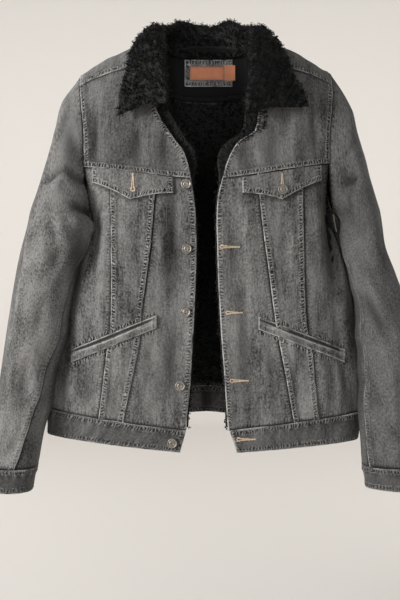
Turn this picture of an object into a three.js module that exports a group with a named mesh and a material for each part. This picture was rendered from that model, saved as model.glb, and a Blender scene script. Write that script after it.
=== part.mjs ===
// A sherpa lined denim trucker jacket, hanging upright and open. Millimetres, +Z up, +X to the
// right of someone facing it, fronts towards -Y. The origin is the middle of the back neck seam.
import * as THREE from "three";

// ---- driving sizes -------------------------------------------------------------------------
const DENIM = 1.6; // wall of one layer of denim
const SHERPA = 6.5; // backing and pile of the lining
const GAP = 0.3; // between pieces at a seam
const MID = -38; // y of the plane halfway between front and back
const ROUND = 2.5; // exponent of the rounded cross-section
const SHOULDER_TIP = 228; // half the width at the shoulder tips
const SHOULDER_DROP = 86; // ridge height lost from the middle to the tips
const RIDGE_TOP = 20; // height of the shoulder ridge, carried on to the middle
const CAP = 90; // height over which front and back round in to the ridge
const BUTTON = 17; // diameter

// Half widths to the left and right, and half depth, by height.
const BODY = {
  columns: ["z", "left", "right", "depth"],
  rows: [
    [20, 238, 232, 50],
    [-80, 234, 230, 56],
    [-150, 228, 226, 60],
    [-210, 224, 222, 62],
    [-250, 212, 218, 62],
    [-290, 202, 217, 61],
    [-330, 203, 225, 59],
    [-395, 221, 238, 57],
    [-460, 236, 253, 56],
    [-510, 247, 261, 56],
    [-565, 260, 267, 56],
    [-610, 268, 268, 56],
    [-645, 274, 266, 55],
    [-700, 270, 254, 54],
  ],
};

// Distances out from the middle of every upright seam and edge of the fronts, by height.
const FRONT_SEAMS = {
  left: {
    edge: [[20, 76], [-60, 80], [-120, 85], [-133, 82], [-179, 53], [-196, 40], [-226, 30], [-255, 25],
      [-293, 20], [-349, 18], [-406, 19], [-474, 22], [-547, 26], [-595, 29], [-632, 33], [-661, 35],
      [-697, 45]],
    inner: [[-240, 84], [-273, 87], [-349, 93.5], [-406, 101], [-469, 109], [-513, 112], [-595, 129],
      [-650, 141]],
    outer: [[-220, 161], [-474, 161], [-532, 168], [-638, 181], [-660, 184]],
  },
  right: {
    edge: [[20, 76], [-60, 80], [-120, 84], [-164, 78], [-179, 54], [-207, 36], [-242, 25], [-274, 17.5],
      [-312, 15.5], [-349, 16.5], [-406, 18], [-463, 21], [-513, 24], [-563, 28], [-633, 32.5],
      [-659, 35.5], [-697, 49.5]],
    inner: [[-240, 83], [-272, 86], [-340, 94], [-387, 101], [-474, 112], [-513, 119], [-563, 129],
      [-650, 145]],
    outer: [[-220, 160], [-349, 161], [-474, 165], [-529, 175], [-583, 180], [-650, 188]],
  },
};
const BACK_SEAM = [[-180, 128], [-400, 112], [-640, 92]];

// Turn about the upright axis, in degrees from the front, at which the armhole crosses each height.
const ARMHOLE = [[20, 66], [-120, 64], [-200, 65], [-240, 70], [-270, 78], [-285, 84], [-292, 90]];
const UNDERARM = -292;

// Heights of the seams that run across: at the middle front or back, and at the side.
const LEVELS = {
  columns: ["front", "leftSide", "rightSide", "back"],
  yoke: [-244, -216, -209, -196],
  bandTop: [-662, -627, -631, -596],
  hem: [-699, -671, -680, -642],
};

// The main folds: from and to (x, z), half width, how far they stand out.
const FOLDS = {
  columns: ["face", "x0", "z0", "x1", "z1", "width", "rise"],
  rows: [
    ["front", 196, -190, 206, -470, 20, -6],
    ["front", 214, -300, 232, -470, 16, 3],
    ["front", -62, -270, -58, -560, 20, -4],
    ["front", 66, -290, 62, -520, 20, -4],
    ["front", -186, -240, -196, -420, 18, -5],
    ["front", -215, -560, -190, -640, 15, -4],
    ["front", 120, -380, 150, -600, 22, 4],
    ["front", -130, -380, -140, -600, 22, 4],
    ["back", -70, -230, -40, -560, 26, 4],
    ["back", 62, -250, 84, -600, 26, -4],
    ["back", -168, -220, -176, -520, 24, -4],
    ["back", 172, -200, 170, -480, 24, -4],
  ],
};

// Sleeve rings from the armhole down: outer and inner edge (distance out, height), half depth, and
// how far the ring's middle lies in front of the mid plane.
const SLEEVES = {
  columns: ["outerX", "outerZ", "innerX", "innerZ", "depth", "forward"],
  left: [
    [247, -101, 207, -303, 46, 0], [263, -161, 208, -322, 56, 5], [284, -235, 211, -346, 58, 11],
    [303, -309, 219, -374, 55, 17], [319, -381, 231, -415, 52, 23], [328, -435, 239, -455, 49, 28],
    [335, -490, 249, -503, 47, 33], [344, -553, 264, -560, 45, 37], [352, -610, 273, -615, 43, 41],
    [358, -665, 279, -668, 41, 44], [362, -717.5, 285, -719.5, 38, 46],
  ],
  right: [
    [249, -118, 224, -300, 46, 0], [268, -201, 233, -318, 55, 2], [283, -252, 238, -338, 56, 4],
    [302, -324, 239, -375, 52, 9], [316, -385, 248, -415, 48, 17], [327, -435, 257, -450, 46, 26],
    [344, -500, 263, -512, 43, 34], [358, -560, 262, -567, 41, 41], [369, -620, 260, -623, 39, 46],
    [376, -670, 259, -673, 37, 50], [381, -717.5, 260, -716, 35, 52],
  ],
};
const CUFFS = {
  left: [[363, -718.5, 285, -720.5, 38.5, 46], [364, -757, 293, -758, 36, 48]],
  right: [[382, -718.5, 259.5, -717, 35, 52], [384, -758, 264, -752, 33, 53]],
};
// Where the two sleeve seams lie, in degrees round a ring from its outer edge by way of the front.
const SLEEVE_SEAMS = { front: [168, 128], back: [-128, -112] };

// Collar stations from the left front end round the back to the right front end: the foot on the
// neck seam as (x, drop over the shoulder), the crest of the roll, and the free edge of the leaf.
const COLLAR = {
  columns: ["foot", "crest", "edge"],
  rows: [
    [[-86, 1.24], [-66, -123, -126], [-146, -107, -142]],
    [[-84, 1.0], [-70, -120, -88], [-143, -104, -112]],
    [[-81, 0.76], [-75, -106, -34], [-136, -98, -72]],
    [[-80, 0.46], [-77, -80, 8], [-127, -86, -36]],
    [[-79, 0.08], [-74, -48, 26], [-114, -40, 10]],
    [[-72, -0.22], [-62, -17, 38], [-96, 14, -20]],
    [[-42, -0.38], [-42, 2, 45], [-64, 36, -36]],
    [[0, -0.42], [2, 8, 38], [2, 42, -40]],
    [[42, -0.38], [42, 2, 46], [62, 36, -36]],
    [[72, -0.22], [62, -17, 37], [92, 14, -20]],
    [[79, 0.08], [73, -48, 25], [110, -40, 10]],
    [[80, 0.46], [77, -80, 8], [125, -86, -32]],
    [[81, 0.76], [75, -106, -30], [139, -98, -62]],
    [[84, 1.0], [72, -121, -88], [157, -101, -98]],
    [[86, 1.3], [64, -124, -142], [168, -103, -126]],
  ],
};
const FOOT_LIFT = 4; // of the collar's foot over the yokes
const COLLAR_PILE = 11;
const COLLAR_GAP = 1.5; // between the pile's backing and the denim under it

// Distances out and heights of the corners of the chest flaps and of the slanted welts.
const FLAPS = {
  left: { outer: [191, -223, -245], point: [127, -276], inner: [56, -243, -266] },
  right: { outer: [191, -219, -242], point: [124, -276], inner: [58, -243, -266] },
};
const WELTS = {
  left: { outer: [228, -537], inner: [84, -479], half: 10.5 },
  right: { outer: [233, -537], inner: [85, -481], half: 10.5 },
};
const FRONT_BUTTONS = [
  [-34.7, -252], [-33.7, -358.5], [-35.8, -463], [-44.6, -585], [-57.8, -680],
];
const FLAP_BUTTON = [124, -260];

// Inside of the back neck: the facing, its patch and the two labels (half width or x from and to, z).
const FACING = { half: 96, bottom: -82, side: -66, wall: 2 };
const PIPING = 7.5; // diameter of the corded edge under the facing
const PATCH = { x0: -39.5, x1: 46, z0: -62, z1: -15 };
const LABEL = { x0: -30, x1: 30.6, z0: -50, z1: -26.5 };
const SIZE_TAB = { x0: 31.6, x1: 51, z0: -51, z1: -24 };

// ---- small helpers -------------------------------------------------------------------------
const lerp = (a, b, t) => a + (b - a) * t;
const radians = THREE.MathUtils.degToRad;
const clamp = THREE.MathUtils.clamp;
const point = (x, y, z) => new THREE.Vector3(x, y, z);
const evenly = (count) => Array.from({ length: count + 1 }, (_, i) => i / count);

// A smooth value from rows of [place, value] whose places go down, held beyond either end.
function along(rows, place) {
  if (place >= rows[0][0]) return rows[0][1];
  const last = rows.length - 1;
  if (place <= rows[last][0]) return rows[last][1];
  const i = rows.findIndex((row) => row[0] <= place) - 1;
  const slope = (k) => {
    const a = rows[Math.max(k - 1, 0)];
    const b = rows[Math.min(k + 1, last)];
    return (b[1] - a[1]) / (b[0] - a[0]);
  };
  const [p0, v0] = rows[i];
  const [p1, v1] = rows[i + 1];
  const span = p1 - p0;
  const t = (place - p0) / span;
  const s = t * t * (3 - 2 * t);
  return (
    lerp(v0, v1, s) + span * (slope(i) * t * (1 - t) ** 2 - slope(i + 1) * t * t * (1 - t))
  );
}
const bodyColumn = (name) => BODY.rows.map((row) => [row[0], row[BODY.columns.indexOf(name)]]);
const HALF_WIDTH = { left: bodyColumn("left"), right: bodyColumn("right") };
const HALF_DEPTH = bodyColumn("depth");
const power = (value, exponent) => Math.sign(value) * Math.abs(value) ** exponent;

// ---- the body's surface --------------------------------------------------------------------
// A place on it is a turn (degrees from the middle front, to the right) and a drop over the
// shoulder: 0 on the ridge, 1 where the rounding ends, negative down the back.
const halfWidth = (x, z) => along(x < 0 ? HALF_WIDTH.left : HALF_WIDTH.right, z);
const ridge = (x) => RIDGE_TOP - SHOULDER_DROP * (x / SHOULDER_TIP) ** 2;
const ridgeFall = (drop) =>
  drop < 1 ? CAP * (1 - Math.cos((drop * Math.PI) / 2)) : CAP + ((drop - 1) * CAP * Math.PI) / 2;
const heightAt = (x, drop) => ridge(x) - ridgeFall(Math.abs(drop));
function dropAt(x, z) {
  const fall = Math.max(ridge(x) - z, 0);
  return fall < CAP ? (Math.acos(1 - fall / CAP) * 2) / Math.PI : 1 + ((fall - CAP) * 2) / (CAP * Math.PI);
}
const acrossAt = (turn, z) =>
  halfWidth(Math.sin(radians(turn)), z) * power(Math.sin(radians(turn)), 2 / ROUND);
const turnAt = (x, z) =>
  Math.sign(x) * THREE.MathUtils.radToDeg(Math.asin(Math.min((Math.abs(x) / halfWidth(x, z)) ** (ROUND / 2), 1)));

function smoothBody(turn, drop) {
  let x = 0;
  let z = heightAt(0, drop);
  for (let i = 0; i < 6; i++) {
    x = acrossAt(turn, z);
    z = heightAt(x, drop);
  }
  const cap = Math.abs(drop) < 1 ? Math.sin((drop * Math.PI) / 2) : Math.sign(drop);
  return point(x, MID - along(HALF_DEPTH, z) * power(Math.cos(radians(turn)), 2 / ROUND) * cap, z);
}

function foldRise(p) {
  let rise = 0;
  for (const [face, x0, z0, x1, z1, width, height] of FOLDS.rows) {
    if ((face === "front") !== p.y < MID) continue;
    const t = ((p.x - x0) * (x1 - x0) + (p.z - z0) * (z1 - z0)) / ((x1 - x0) ** 2 + (z1 - z0) ** 2);
    if (t < 0 || t > 1) continue;
    const away = Math.hypot(p.x - lerp(x0, x1, t), p.z - lerp(z0, z1, t)) / width;
    rise += height * Math.exp(-away * away) * Math.sin(Math.PI * t) ** 2;
  }
  return rise;
}

// The outer surface of the denim, moved out by lift.
function bodyAt(turn, drop, lift = 0) {
  const step = 0.02;
  const here = smoothBody(turn, drop);
  const across = smoothBody(turn + 1, drop).sub(smoothBody(turn - 1, drop));
  const down = smoothBody(turn, drop + step).sub(smoothBody(turn, drop - step));
  const out = down.cross(across).normalize();
  return here.addScaledVector(out, lift + foldRise(here));
}

// Height of a level seam at a turn that may run on past the side to the back.
function level(name, turn) {
  const [front, leftSide, rightSide, back] = LEVELS[name];
  const side = turn < 0 ? leftSide : rightSide;
  const middle = Math.abs(turn) < 90 ? front : back;
  return lerp(middle, side, Math.abs(Math.sin(radians(turn))));
}

// ---- closed walls from grids ---------------------------------------------------------------
// outer and inner are grids of points, rows by columns; a loop's columns close on themselves.
function wallGeometry(outer, inner, loop = false) {
  const rows = outer.length;
  const columns = outer[0].length;
  const count = rows * columns;
  const positions = [...outer.flat(), ...inner.flat()].flatMap((p) => [p.x, p.y, p.z]);
  const faces = [];
  const quad = (a, b, c, d) => faces.push(a, b, c, a, c, d);
  const lastColumn = loop ? columns : columns - 1;
  const at = (r, c) => r * columns + (c % columns);
  for (let r = 0; r < rows - 1; r++)
    for (let c = 0; c < lastColumn; c++) {
      const [p, q, s, t] = [at(r, c), at(r, c + 1), at(r + 1, c + 1), at(r + 1, c)];
      quad(p, q, s, t);
      quad(count + p, count + t, count + s, count + q);
    }
  for (let c = 0; c < lastColumn; c++) {
    const [top, next] = [at(0, c), at(0, c + 1)];
    const [low, after] = [at(rows - 1, c), at(rows - 1, c + 1)];
    quad(next, top, count + top, count + next);
    quad(low, after, count + after, count + low);
  }
  if (!loop)
    for (let r = 0; r < rows - 1; r++) {
      quad(at(r, 0), at(r + 1, 0), count + at(r + 1, 0), count + at(r, 0));
      quad(at(r + 1, columns - 1), at(r, columns - 1), count + at(r, columns - 1), count + at(r + 1, columns - 1));
    }
  const geometry = new THREE.BufferGeometry();
  geometry.setAttribute("position", new THREE.Float32BufferAttribute(positions, 3));
  geometry.setIndex(signedVolume(positions, faces) < 0 ? faces.reverse() : faces);
  geometry.computeVertexNormals();
  return geometry;
}

function signedVolume(positions, faces) {
  const corner = (i) => new THREE.Vector3().fromArray(positions, faces[i] * 3);
  let volume = 0;
  for (let i = 0; i < faces.length; i += 3) volume += corner(i).dot(corner(i + 1).cross(corner(i + 2)));
  return volume;
}

// ---- materials -----------------------------------------------------------------------------
const finish = (color, roughness, metalness = 0) =>
  new THREE.MeshStandardMaterial({ color, roughness, metalness });
const denim = finish(0x6e6c68, 0.9);
const sherpa = finish(0x141414, 1);
const facingCloth = finish(0x0c0c0d, 0.85);
const wovenLabel = finish(0xb57d63, 0.8);
const shank = finish(0x8a857d, 0.45, 0.8);

const jacket = new THREE.Group();
function add(name, geometry, material) {
  const mesh = new THREE.Mesh(geometry, material);
  mesh.name = name;
  jacket.add(mesh);
}

// ---- panels of the body --------------------------------------------------------------------
// A panel lies between two upright lines, turn(z), and two level lines, drop(x, turn). outside and
// inside are how far its two faces stand out from the denim's outer surface.
function panel({ left, right, top, bottom, rows, columns, outside = 0, inside = -DENIM }) {
  const spot = (s, t) => {
    let z = -300;
    let turn = 0;
    let drop = 0;
    for (let i = 0; i < 12; i++) {
      turn = lerp(left(z), right(z), s);
      const x = acrossAt(turn, z);
      drop = lerp(top(x, turn), bottom(x, turn), t);
      z = heightAt(x, drop);
    }
    return [turn, drop];
  };
  const face = (lift) => rows.map((t) => columns.map((s) => bodyAt(...spot(s, t), lift)));
  return wallGeometry(face(outside), face(inside));
}

const HALF_GAP = GAP / 2;
const seamTurn = (rows, sign, shift = 0) => (z) => turnAt(sign * (along(rows, z) + shift), z);
const armholeTurn = (sign, inset) => (z) => {
  if (z <= UNDERARM) return sign * 90;
  const turn = sign * along(ARMHOLE, z);
  return turnAt(acrossAt(turn, z) - sign * inset, z);
};
const behind = (turn) => (turn < 0 ? -180 : 180) - turn;
const levelDrop = (name, shift, face = 1) => (x, turn) =>
  face * dropAt(x, level(name, face > 0 ? turn : behind(turn)) + shift);
const SHOULDER_GAP = 0.004; // drop that each edge keeps from the shoulder seam
const shoulderSeam = (x) => lerp(0.68, 0.46, clamp((Math.abs(x) - 130) / 85, 0, 1));

const SIDES = [
  { side: "left", sign: -1 },
  { side: "right", sign: 1 },
];
// Puts a piece's two upright lines in order from left to right.
const between = (sign, nearer, farther) =>
  sign < 0 ? { left: farther, right: nearer } : { left: nearer, right: farther };

for (const { side, sign } of SIDES) {
  const seams = FRONT_SEAMS[side];
  const edge = seamTurn(seams.edge, sign);
  const armhole = armholeTurn(sign, HALF_GAP);
  const below = { top: levelDrop("yoke", -HALF_GAP), bottom: levelDrop("bandTop", HALF_GAP) };
  add(
    `front_yoke_${side}`,
    panel({
      ...between(sign, edge, armhole),
      top: (x) => shoulderSeam(x) + SHOULDER_GAP,
      bottom: levelDrop("yoke", HALF_GAP),
      rows: evenly(6),
      columns: evenly(7),
    }),
    denim,
  );
  const strips = [
    ["centre", edge, seamTurn(seams.inner, sign, -HALF_GAP), 4],
    ["strip", seamTurn(seams.inner, sign, HALF_GAP), seamTurn(seams.outer, sign, -HALF_GAP), 3],
    ["side", seamTurn(seams.outer, sign, HALF_GAP), armhole, 5],
  ];
  for (const [name, nearer, farther, count] of strips)
    add(
      `front_${name}_${side}`,
      panel({ ...between(sign, nearer, farther), ...below, rows: evenly(11), columns: evenly(count) }),
      denim,
    );
}

// The back yoke's columns run from its upper outline, the shoulder seams and the neck edge between
// them, to the yoke seam. The table is its right half: distance out and drop of the top, and
// distance out of the bottom; the first row is at the armhole, and rows out past the neck start
// on the shoulder seam.
const NECK_HALF = 79;
const YOKE_COLUMNS = {
  columns: ["topX", "topDrop", "bottomX"],
  rows: [
    [213, 0.46, 206], [180, 0.55, 186], [146, 0.64, 166], [112, 0.68, 146], [80, 0.68, 128],
    [79, 0.42, 112], [79, 0.14, 97], [76, -0.12, 80], [60, -0.3, 58], [32, -0.4, 30], [0, -0.43, 0],
  ],
};
function backYoke() {
  const spots = (t) => {
    const half = (sign) =>
      YOKE_COLUMNS.rows.map(([topX, topDrop, tableX], i) => {
        const side = LEVELS.yoke[sign < 0 ? 1 : 2];
        const bottomX = i ? tableX : Math.abs(acrossAt(armholeTurn(sign, HALF_GAP)(side), side));
        const yoke = level("yoke", behind(turnAt(sign * bottomX, side))) + 2 * HALF_GAP;
        const start = topX > NECK_HALF ? shoulderSeam(topX) - SHOULDER_GAP : topDrop;
        const drop = lerp(start, -dropAt(sign * bottomX, yoke), t);
        let x = sign * lerp(topX, bottomX, t);
        const z = heightAt(x, drop);
        if (i === 0) x = acrossAt(armholeTurn(sign, HALF_GAP)(z), z);
        return [turnAt(x, heightAt(x, drop)), drop];
      });
    return [...half(-1), ...half(1).slice(0, -1).reverse()];
  };
  const face = (lift) => evenly(6).map((t) => spots(t).map(([turn, drop]) => bodyAt(turn, drop, lift)));
  return wallGeometry(face(0), face(-DENIM));
}
add("back_yoke", backYoke(), denim);
const backBelow = {
  top: levelDrop("yoke", -HALF_GAP, -1),
  bottom: levelDrop("bandTop", HALF_GAP, -1),
  rows: evenly(10),
};
add(
  "back_centre",
  panel({
    left: seamTurn(BACK_SEAM, -1, -HALF_GAP),
    right: seamTurn(BACK_SEAM, 1, -HALF_GAP),
    ...backBelow,
    columns: evenly(6),
  }),
  denim,
);
for (const { side, sign } of SIDES)
  add(
    `back_side_${side}`,
    panel({
      ...between(sign, seamTurn(BACK_SEAM, sign, HALF_GAP), armholeTurn(sign, HALF_GAP)),
      ...backBelow,
      columns: evenly(5),
    }),
    denim,
  );

// ---- the waistband, two halves that meet at the middle of the back --------------------------
const BAND_WALL = 3;
for (const { side, sign } of SIDES) {
  const rows = evenly(2).map((t) => (lift) => {
    const line = [];
    for (const s of evenly(17)) {
      const startX = sign * along(FRONT_SEAMS[side].edge, lerp(-662, -699, t));
      const start = Math.abs(turnAt(startX, -680));
      const turn = sign * lerp(start, 179.9, s);
      const near = Math.abs(turn) < 90 ? turn : behind(turn);
      const z = lerp(level("bandTop", turn) - HALF_GAP, level("hem", turn), t);
      const face = Math.abs(turn) < 90 ? 1 : -1;
      line.push(bodyAt(near, face * dropAt(acrossAt(near, z), z), lift));
    }
    return line;
  });
  const lifted = (lift) => rows.map((row) => row(lift));
  add(`waistband_${side}`, wallGeometry(lifted(0.5), lifted(0.5 - BAND_WALL)), denim);
}

// ---- sherpa lining, its back neck facing and the labels ------------------------------------
const LINING_GAP = 3.2; // loose behind the denim
const LINING_OUT = -DENIM - LINING_GAP;
const LINING_IN = LINING_OUT - SHERPA;
const LINING_SIDE = 84; // turn at which the front and back linings meet
const ARMHOLE_INSET = 9;
const LINING_LOW = 4; // above the top of the waistband
const liningSide = (sign) => (z) => {
  const turn = armholeTurn(sign, ARMHOLE_INSET)(z);
  return sign * Math.min(Math.abs(turn), LINING_SIDE);
};
for (const { side, sign } of SIDES)
  add(
    `lining_front_${side}`,
    panel({
      ...between(sign, seamTurn(FRONT_SEAMS[side].edge, sign, -2.5), liningSide(sign)),
      top: (x) => shoulderSeam(x) - 0.08,
      bottom: levelDrop("bandTop", LINING_LOW),
      rows: evenly(11),
      columns: evenly(6),
      outside: LINING_OUT,
      inside: LINING_IN,
    }),
    sherpa,
  );
const facingBottom = (x) => lerp(FACING.bottom, FACING.side, (x / FACING.half) ** 2);
// The lining starts under the piped edge and, past the facing's ends, climbs to the shoulders.
function liningTop(x) {
  const climb = clamp((Math.abs(x) - FACING.half - 12) / 28, 0, 1);
  return lerp(facingBottom(x) - PIPING - 4.5, ridge(x) - 16, climb);
}
add(
  "lining_back",
  panel({
    left: liningSide(-1),
    right: liningSide(1),
    top: (x) => -dropAt(x, liningTop(x)),
    bottom: levelDrop("bandTop", LINING_LOW, -1),
    rows: evenly(10),
    columns: evenly(13),
    outside: LINING_OUT,
    inside: LINING_IN,
  }),
  sherpa,
);
const FACING_OUT = -6.5;
const FACING_IN = FACING_OUT - FACING.wall;
// A flat piece inside the back, from x0 to x1 and z0 to z1.
function insideBack({ x0, x1, z0, z1 }, outside, wall, rows, columns) {
  return panel({
    left: (z) => turnAt(x0, z),
    right: (z) => turnAt(x1, z),
    top: (x) => -dropAt(x, typeof z1 === "function" ? z1(x) : z1),
    bottom: (x) => -dropAt(x, typeof z0 === "function" ? z0(x) : z0),
    rows,
    columns,
    outside,
    inside: outside - wall,
  });
}
add(
  "neck_facing",
  insideBack(
    { x0: -FACING.half, x1: FACING.half, z0: facingBottom, z1: (x) => -6 - 12 * (x / FACING.half) ** 2 },
    FACING_OUT,
    FACING.wall,
    evenly(4),
    evenly(12),
  ),
  facingCloth,
);
const pipingPath = new THREE.CatmullRomCurve3(
  evenly(12).map((s) => {
    const x = lerp(-FACING.half, FACING.half, s);
    const z = facingBottom(x) - PIPING / 2 - 1;
    return bodyAt(turnAt(x, z), -dropAt(x, z), FACING_OUT - 2);
  }),
);
const pipingSection = new THREE.Shape().absarc(0, 0, PIPING / 2, 0, Math.PI * 2);
add(
  "facing_piping",
  new THREE.ExtrudeGeometry(pipingSection, { steps: 14, curveSegments: 4, extrudePath: pipingPath }),
  facingCloth,
);
add("label_patch", insideBack(PATCH, FACING_IN - 0.8, 1.2, evenly(2), evenly(4)), denim);
add("label", insideBack(LABEL, FACING_IN - 3, 0.8, evenly(2), evenly(3)), wovenLabel);
add("size_tab", insideBack(SIZE_TAB, FACING_IN - 3, 0.8, evenly(2), evenly(1)), wovenLabel);

// ---- pockets -------------------------------------------------------------------------------
// A piece that lies on a front, between two level lines given as functions of the distance out.
function onFront(sign, nearer, farther, top, bottom, columns, rows, outside, inside) {
  return panel({
    ...between(sign, (z) => turnAt(sign * nearer, z), (z) => turnAt(sign * farther, z)),
    top: (x) => dropAt(x, top(Math.abs(x))),
    bottom: (x) => dropAt(x, bottom(Math.abs(x))),
    rows,
    columns,
    outside,
    inside,
  });
}
const slope = (x, [x0, z0], [x1, z1]) => lerp(z0, z1, (x - x0) / (x1 - x0));
for (const { side, sign } of SIDES) {
  const { outer, point: tip, inner } = FLAPS[side];
  const share = (outer[0] - tip[0]) / (outer[0] - inner[0]);
  const middle = sign < 0 ? share : 1 - share;
  const columns = [0, 0.33, 0.67, 1, 1.33, 1.67, 2].map((k) =>
    k <= 1 ? lerp(0, middle, k) : lerp(middle, 1, k - 1),
  );
  const top = (x) => slope(x, [outer[0], outer[1]], [inner[0], inner[1]]);
  const bottom = (x) =>
    x > tip[0] ? slope(x, [outer[0], outer[2]], tip) : slope(x, tip, [inner[0], inner[2]]);
  add(
    `pocket_flap_${side}`,
    onFront(sign, inner[0], outer[0], top, bottom, columns, evenly(3), 3.2, 0.8),
    denim,
  );
  const welt = WELTS[side];
  const line = (shift) => (x) => slope(x, welt.outer, welt.inner) + shift;
  add(
    `welt_${side}`,
    onFront(sign, welt.inner[0], welt.outer[0], line(welt.half), line(-welt.half), evenly(10), evenly(2), 3.4, 0.9),
    denim,
  );
}

// ---- sleeves and cuffs ---------------------------------------------------------------------
// The armhole seam at an angle round it: 0 at the shoulder tip, 90 at the front, 180 underarm.
const ARM_TOP = -66;
function armholePoint(sign, angle) {
  const share = (1 - Math.cos(radians(angle))) / 2;
  const z = lerp(ARM_TOP, UNDERARM, share);
  const turn = armholeTurn(sign, -SLEEVE_GAP)(z);
  const drop = dropAt(acrossAt(turn, z), z);
  return bodyAt(turn, Math.sin(radians(angle)) < 0 ? -drop : drop);
}
const SLEEVE_GAP = 1.2;
const RING_ROUND = 2.2;
function ringPoint(sign, [outerX, outerZ, innerX, innerZ, depth, forward], angle) {
  const reach = power(Math.cos(radians(angle)), 2 / RING_ROUND) / 2;
  const side = power(Math.sin(radians(angle)), 2 / RING_ROUND);
  return point(
    sign * ((outerX + innerX) / 2 + (outerX - innerX) * reach),
    MID - forward - depth * side,
    (outerZ + innerZ) / 2 + (outerZ - innerZ) * reach,
  );
}
// The surface of a sleeve through its rings; row 0 is the armhole.
function sleevePoint(side, sign, row, angle) {
  const rings = SLEEVES[side];
  const at = (k) => (k <= 0 ? armholePoint(sign, angle) : ringPoint(sign, rings[Math.min(k, rings.length) - 1], angle));
  const k = Math.min(Math.floor(row), rings.length - 1);
  const t = row - k;
  const [a, b, c, d] = [at(Math.max(k - 1, 0)), at(k), at(k + 1), at(Math.min(k + 2, rings.length))];
  const curve = (name) =>
    b[name] +
    0.5 * t * (c[name] - a[name] + t * (2 * a[name] - 5 * b[name] + 4 * c[name] - d[name] + t * (3 * (b[name] - c[name]) + d[name] - a[name])));
  return point(curve("x"), curve("y"), curve("z"));
}
function sleeveAt(side, sign, row, angle, lift) {
  const here = sleevePoint(side, sign, row, angle);
  const round = sleevePoint(side, sign, row, angle + 3).sub(sleevePoint(side, sign, row, angle - 3));
  const last = SLEEVES[side].length;
  const down = sleevePoint(side, sign, Math.min(row + 0.1, last), angle).sub(
    sleevePoint(side, sign, Math.max(row - 0.1, 0), angle),
  );
  const out = down.cross(round).normalize().multiplyScalar(-sign);
  return here.addScaledVector(out, lift);
}
for (const { side, sign } of SIDES) {
  const last = SLEEVES[side].length;
  const seam = (name, row) => lerp(SLEEVE_SEAMS[name][0], SLEEVE_SEAMS[name][1], row / last);
  const rows = [0, 0.5, 1, 1.5, 2, 3, 4, 5, 6, 7, 8, 9, 10, last];
  const slip = (row) => 0.25 + 4 * Math.max(1 - row, 0); // degrees that each edge keeps from the seam
  const part = (from, to, count) => (lift) =>
    rows.map((row) =>
      evenly(count).map((s) => sleeveAt(side, sign, row, lerp(from(row) + slip(row), to(row) - slip(row), s), lift)),
    );
  const top = part((row) => seam("back", row), (row) => seam("front", row), 12);
  const under = part((row) => seam("front", row), (row) => seam("back", row) + 360, 5);
  add(`sleeve_top_${side}`, wallGeometry(top(0), top(-DENIM)), denim);
  add(`sleeve_under_${side}`, wallGeometry(under(0), under(-DENIM)), denim);

  const cuffRing = (t, lift) => {
    const row = CUFFS[side][0].map((value, i) => lerp(value, CUFFS[side][1][i], t));
    const grown = [row[0] + lift, row[1], row[2] - lift, row[3], row[4] + lift, row[5]];
    return evenly(18).slice(0, -1).map((s) => ringPoint(sign, grown, s * 360));
  };
  const cuff = (lift) => evenly(1).map((t) => cuffRing(t, lift));
  add(`cuff_${side}`, wallGeometry(cuff(1), cuff(-2), true), denim);
}

// ---- collar --------------------------------------------------------------------------------
// Each station's section runs from the foot up the stand, over the roll and down the leaf.
const COLLAR_SECTIONS = COLLAR.rows.map(([foot, crest, edge]) => {
  const [footX, footDrop] = foot;
  const f = bodyAt(turnAt(footX, heightAt(footX, footDrop)), footDrop, FOOT_LIFT);
  const [c, e] = [crest, edge].map((p) => point(...p));
  const leaf = e.clone().sub(c);
  const outward = point(leaf.x, leaf.y, 0).normalize();
  const stand = f.clone().lerp(c, 0.55).addScaledVector(outward, -1);
  const shoulder = c.clone().lerp(e, 0.3).addScaledVector(outward, 4).add(point(0, 0, 7));
  const fall = c.clone().lerp(e, 0.68).addScaledVector(outward, 3).add(point(0, 0, 3));
  return new THREE.CatmullRomCurve3([f, stand, c, shoulder, fall, e]);
});
function collarPoint(u, v) {
  const stations = COLLAR_SECTIONS.map((section) => section.getPoint(clamp(v, 0, 1)));
  return new THREE.CatmullRomCurve3(stations).getPoint(clamp(u, 0, 1));
}
function collarAt(u, v, lift) {
  const here = collarPoint(u, v);
  const onward = collarPoint(u + 0.01, v).sub(collarPoint(u - 0.01, v));
  const over = collarPoint(u, v + 0.02).sub(collarPoint(u, v - 0.02));
  return here.addScaledVector(onward.cross(over).normalize(), lift);
}
const collarGrid = (lift) =>
  evenly(24).map((u) => [0, 0.18, 0.34, 0.43, 0.54, 0.7, 0.85, 1].map((v) => collarAt(u, v, lift)));
add("collar_sherpa", wallGeometry(collarGrid(COLLAR_PILE), collarGrid(COLLAR_GAP)), sherpa);
add("collar_under", wallGeometry(collarGrid(0), collarGrid(-DENIM)), denim);

// ---- buttons -------------------------------------------------------------------------------
function buttonGeometry() {
  const radius = BUTTON / 2;
  const profile = [
    [0, 0], [3.2, 0], [3.2, 2.2], [radius - 0.6, 2.2], [radius, 3], [radius - 0.8, 4.2], [radius - 2.6, 4],
    [radius - 3.4, 3.4], [0, 3.6],
  ];
  return new THREE.LatheGeometry(profile.map(([r, h]) => new THREE.Vector2(r, h)), 14);
}
function addButton(name, [x, z], lift) {
  const geometry = buttonGeometry();
  const turn = turnAt(x, z);
  const seat = bodyAt(turn, dropAt(x, z), lift);
  const above = bodyAt(turn, dropAt(x, z), lift + 1);
  const turned = new THREE.Quaternion().setFromUnitVectors(point(0, 1, 0), above.sub(seat).normalize());
  const mesh = new THREE.Mesh(geometry, shank);
  mesh.name = name;
  mesh.position.copy(seat);
  mesh.quaternion.copy(turned);
  jacket.add(mesh);
}
const BUTTON_SEAT = 0.9;
FRONT_BUTTONS.forEach((place, i) => addButton(`button_${i + 1}`, place, BUTTON_SEAT));
addButton("flap_button_right", FLAP_BUTTON, 3.8);

export default jacket;
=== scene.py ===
import math

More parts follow.
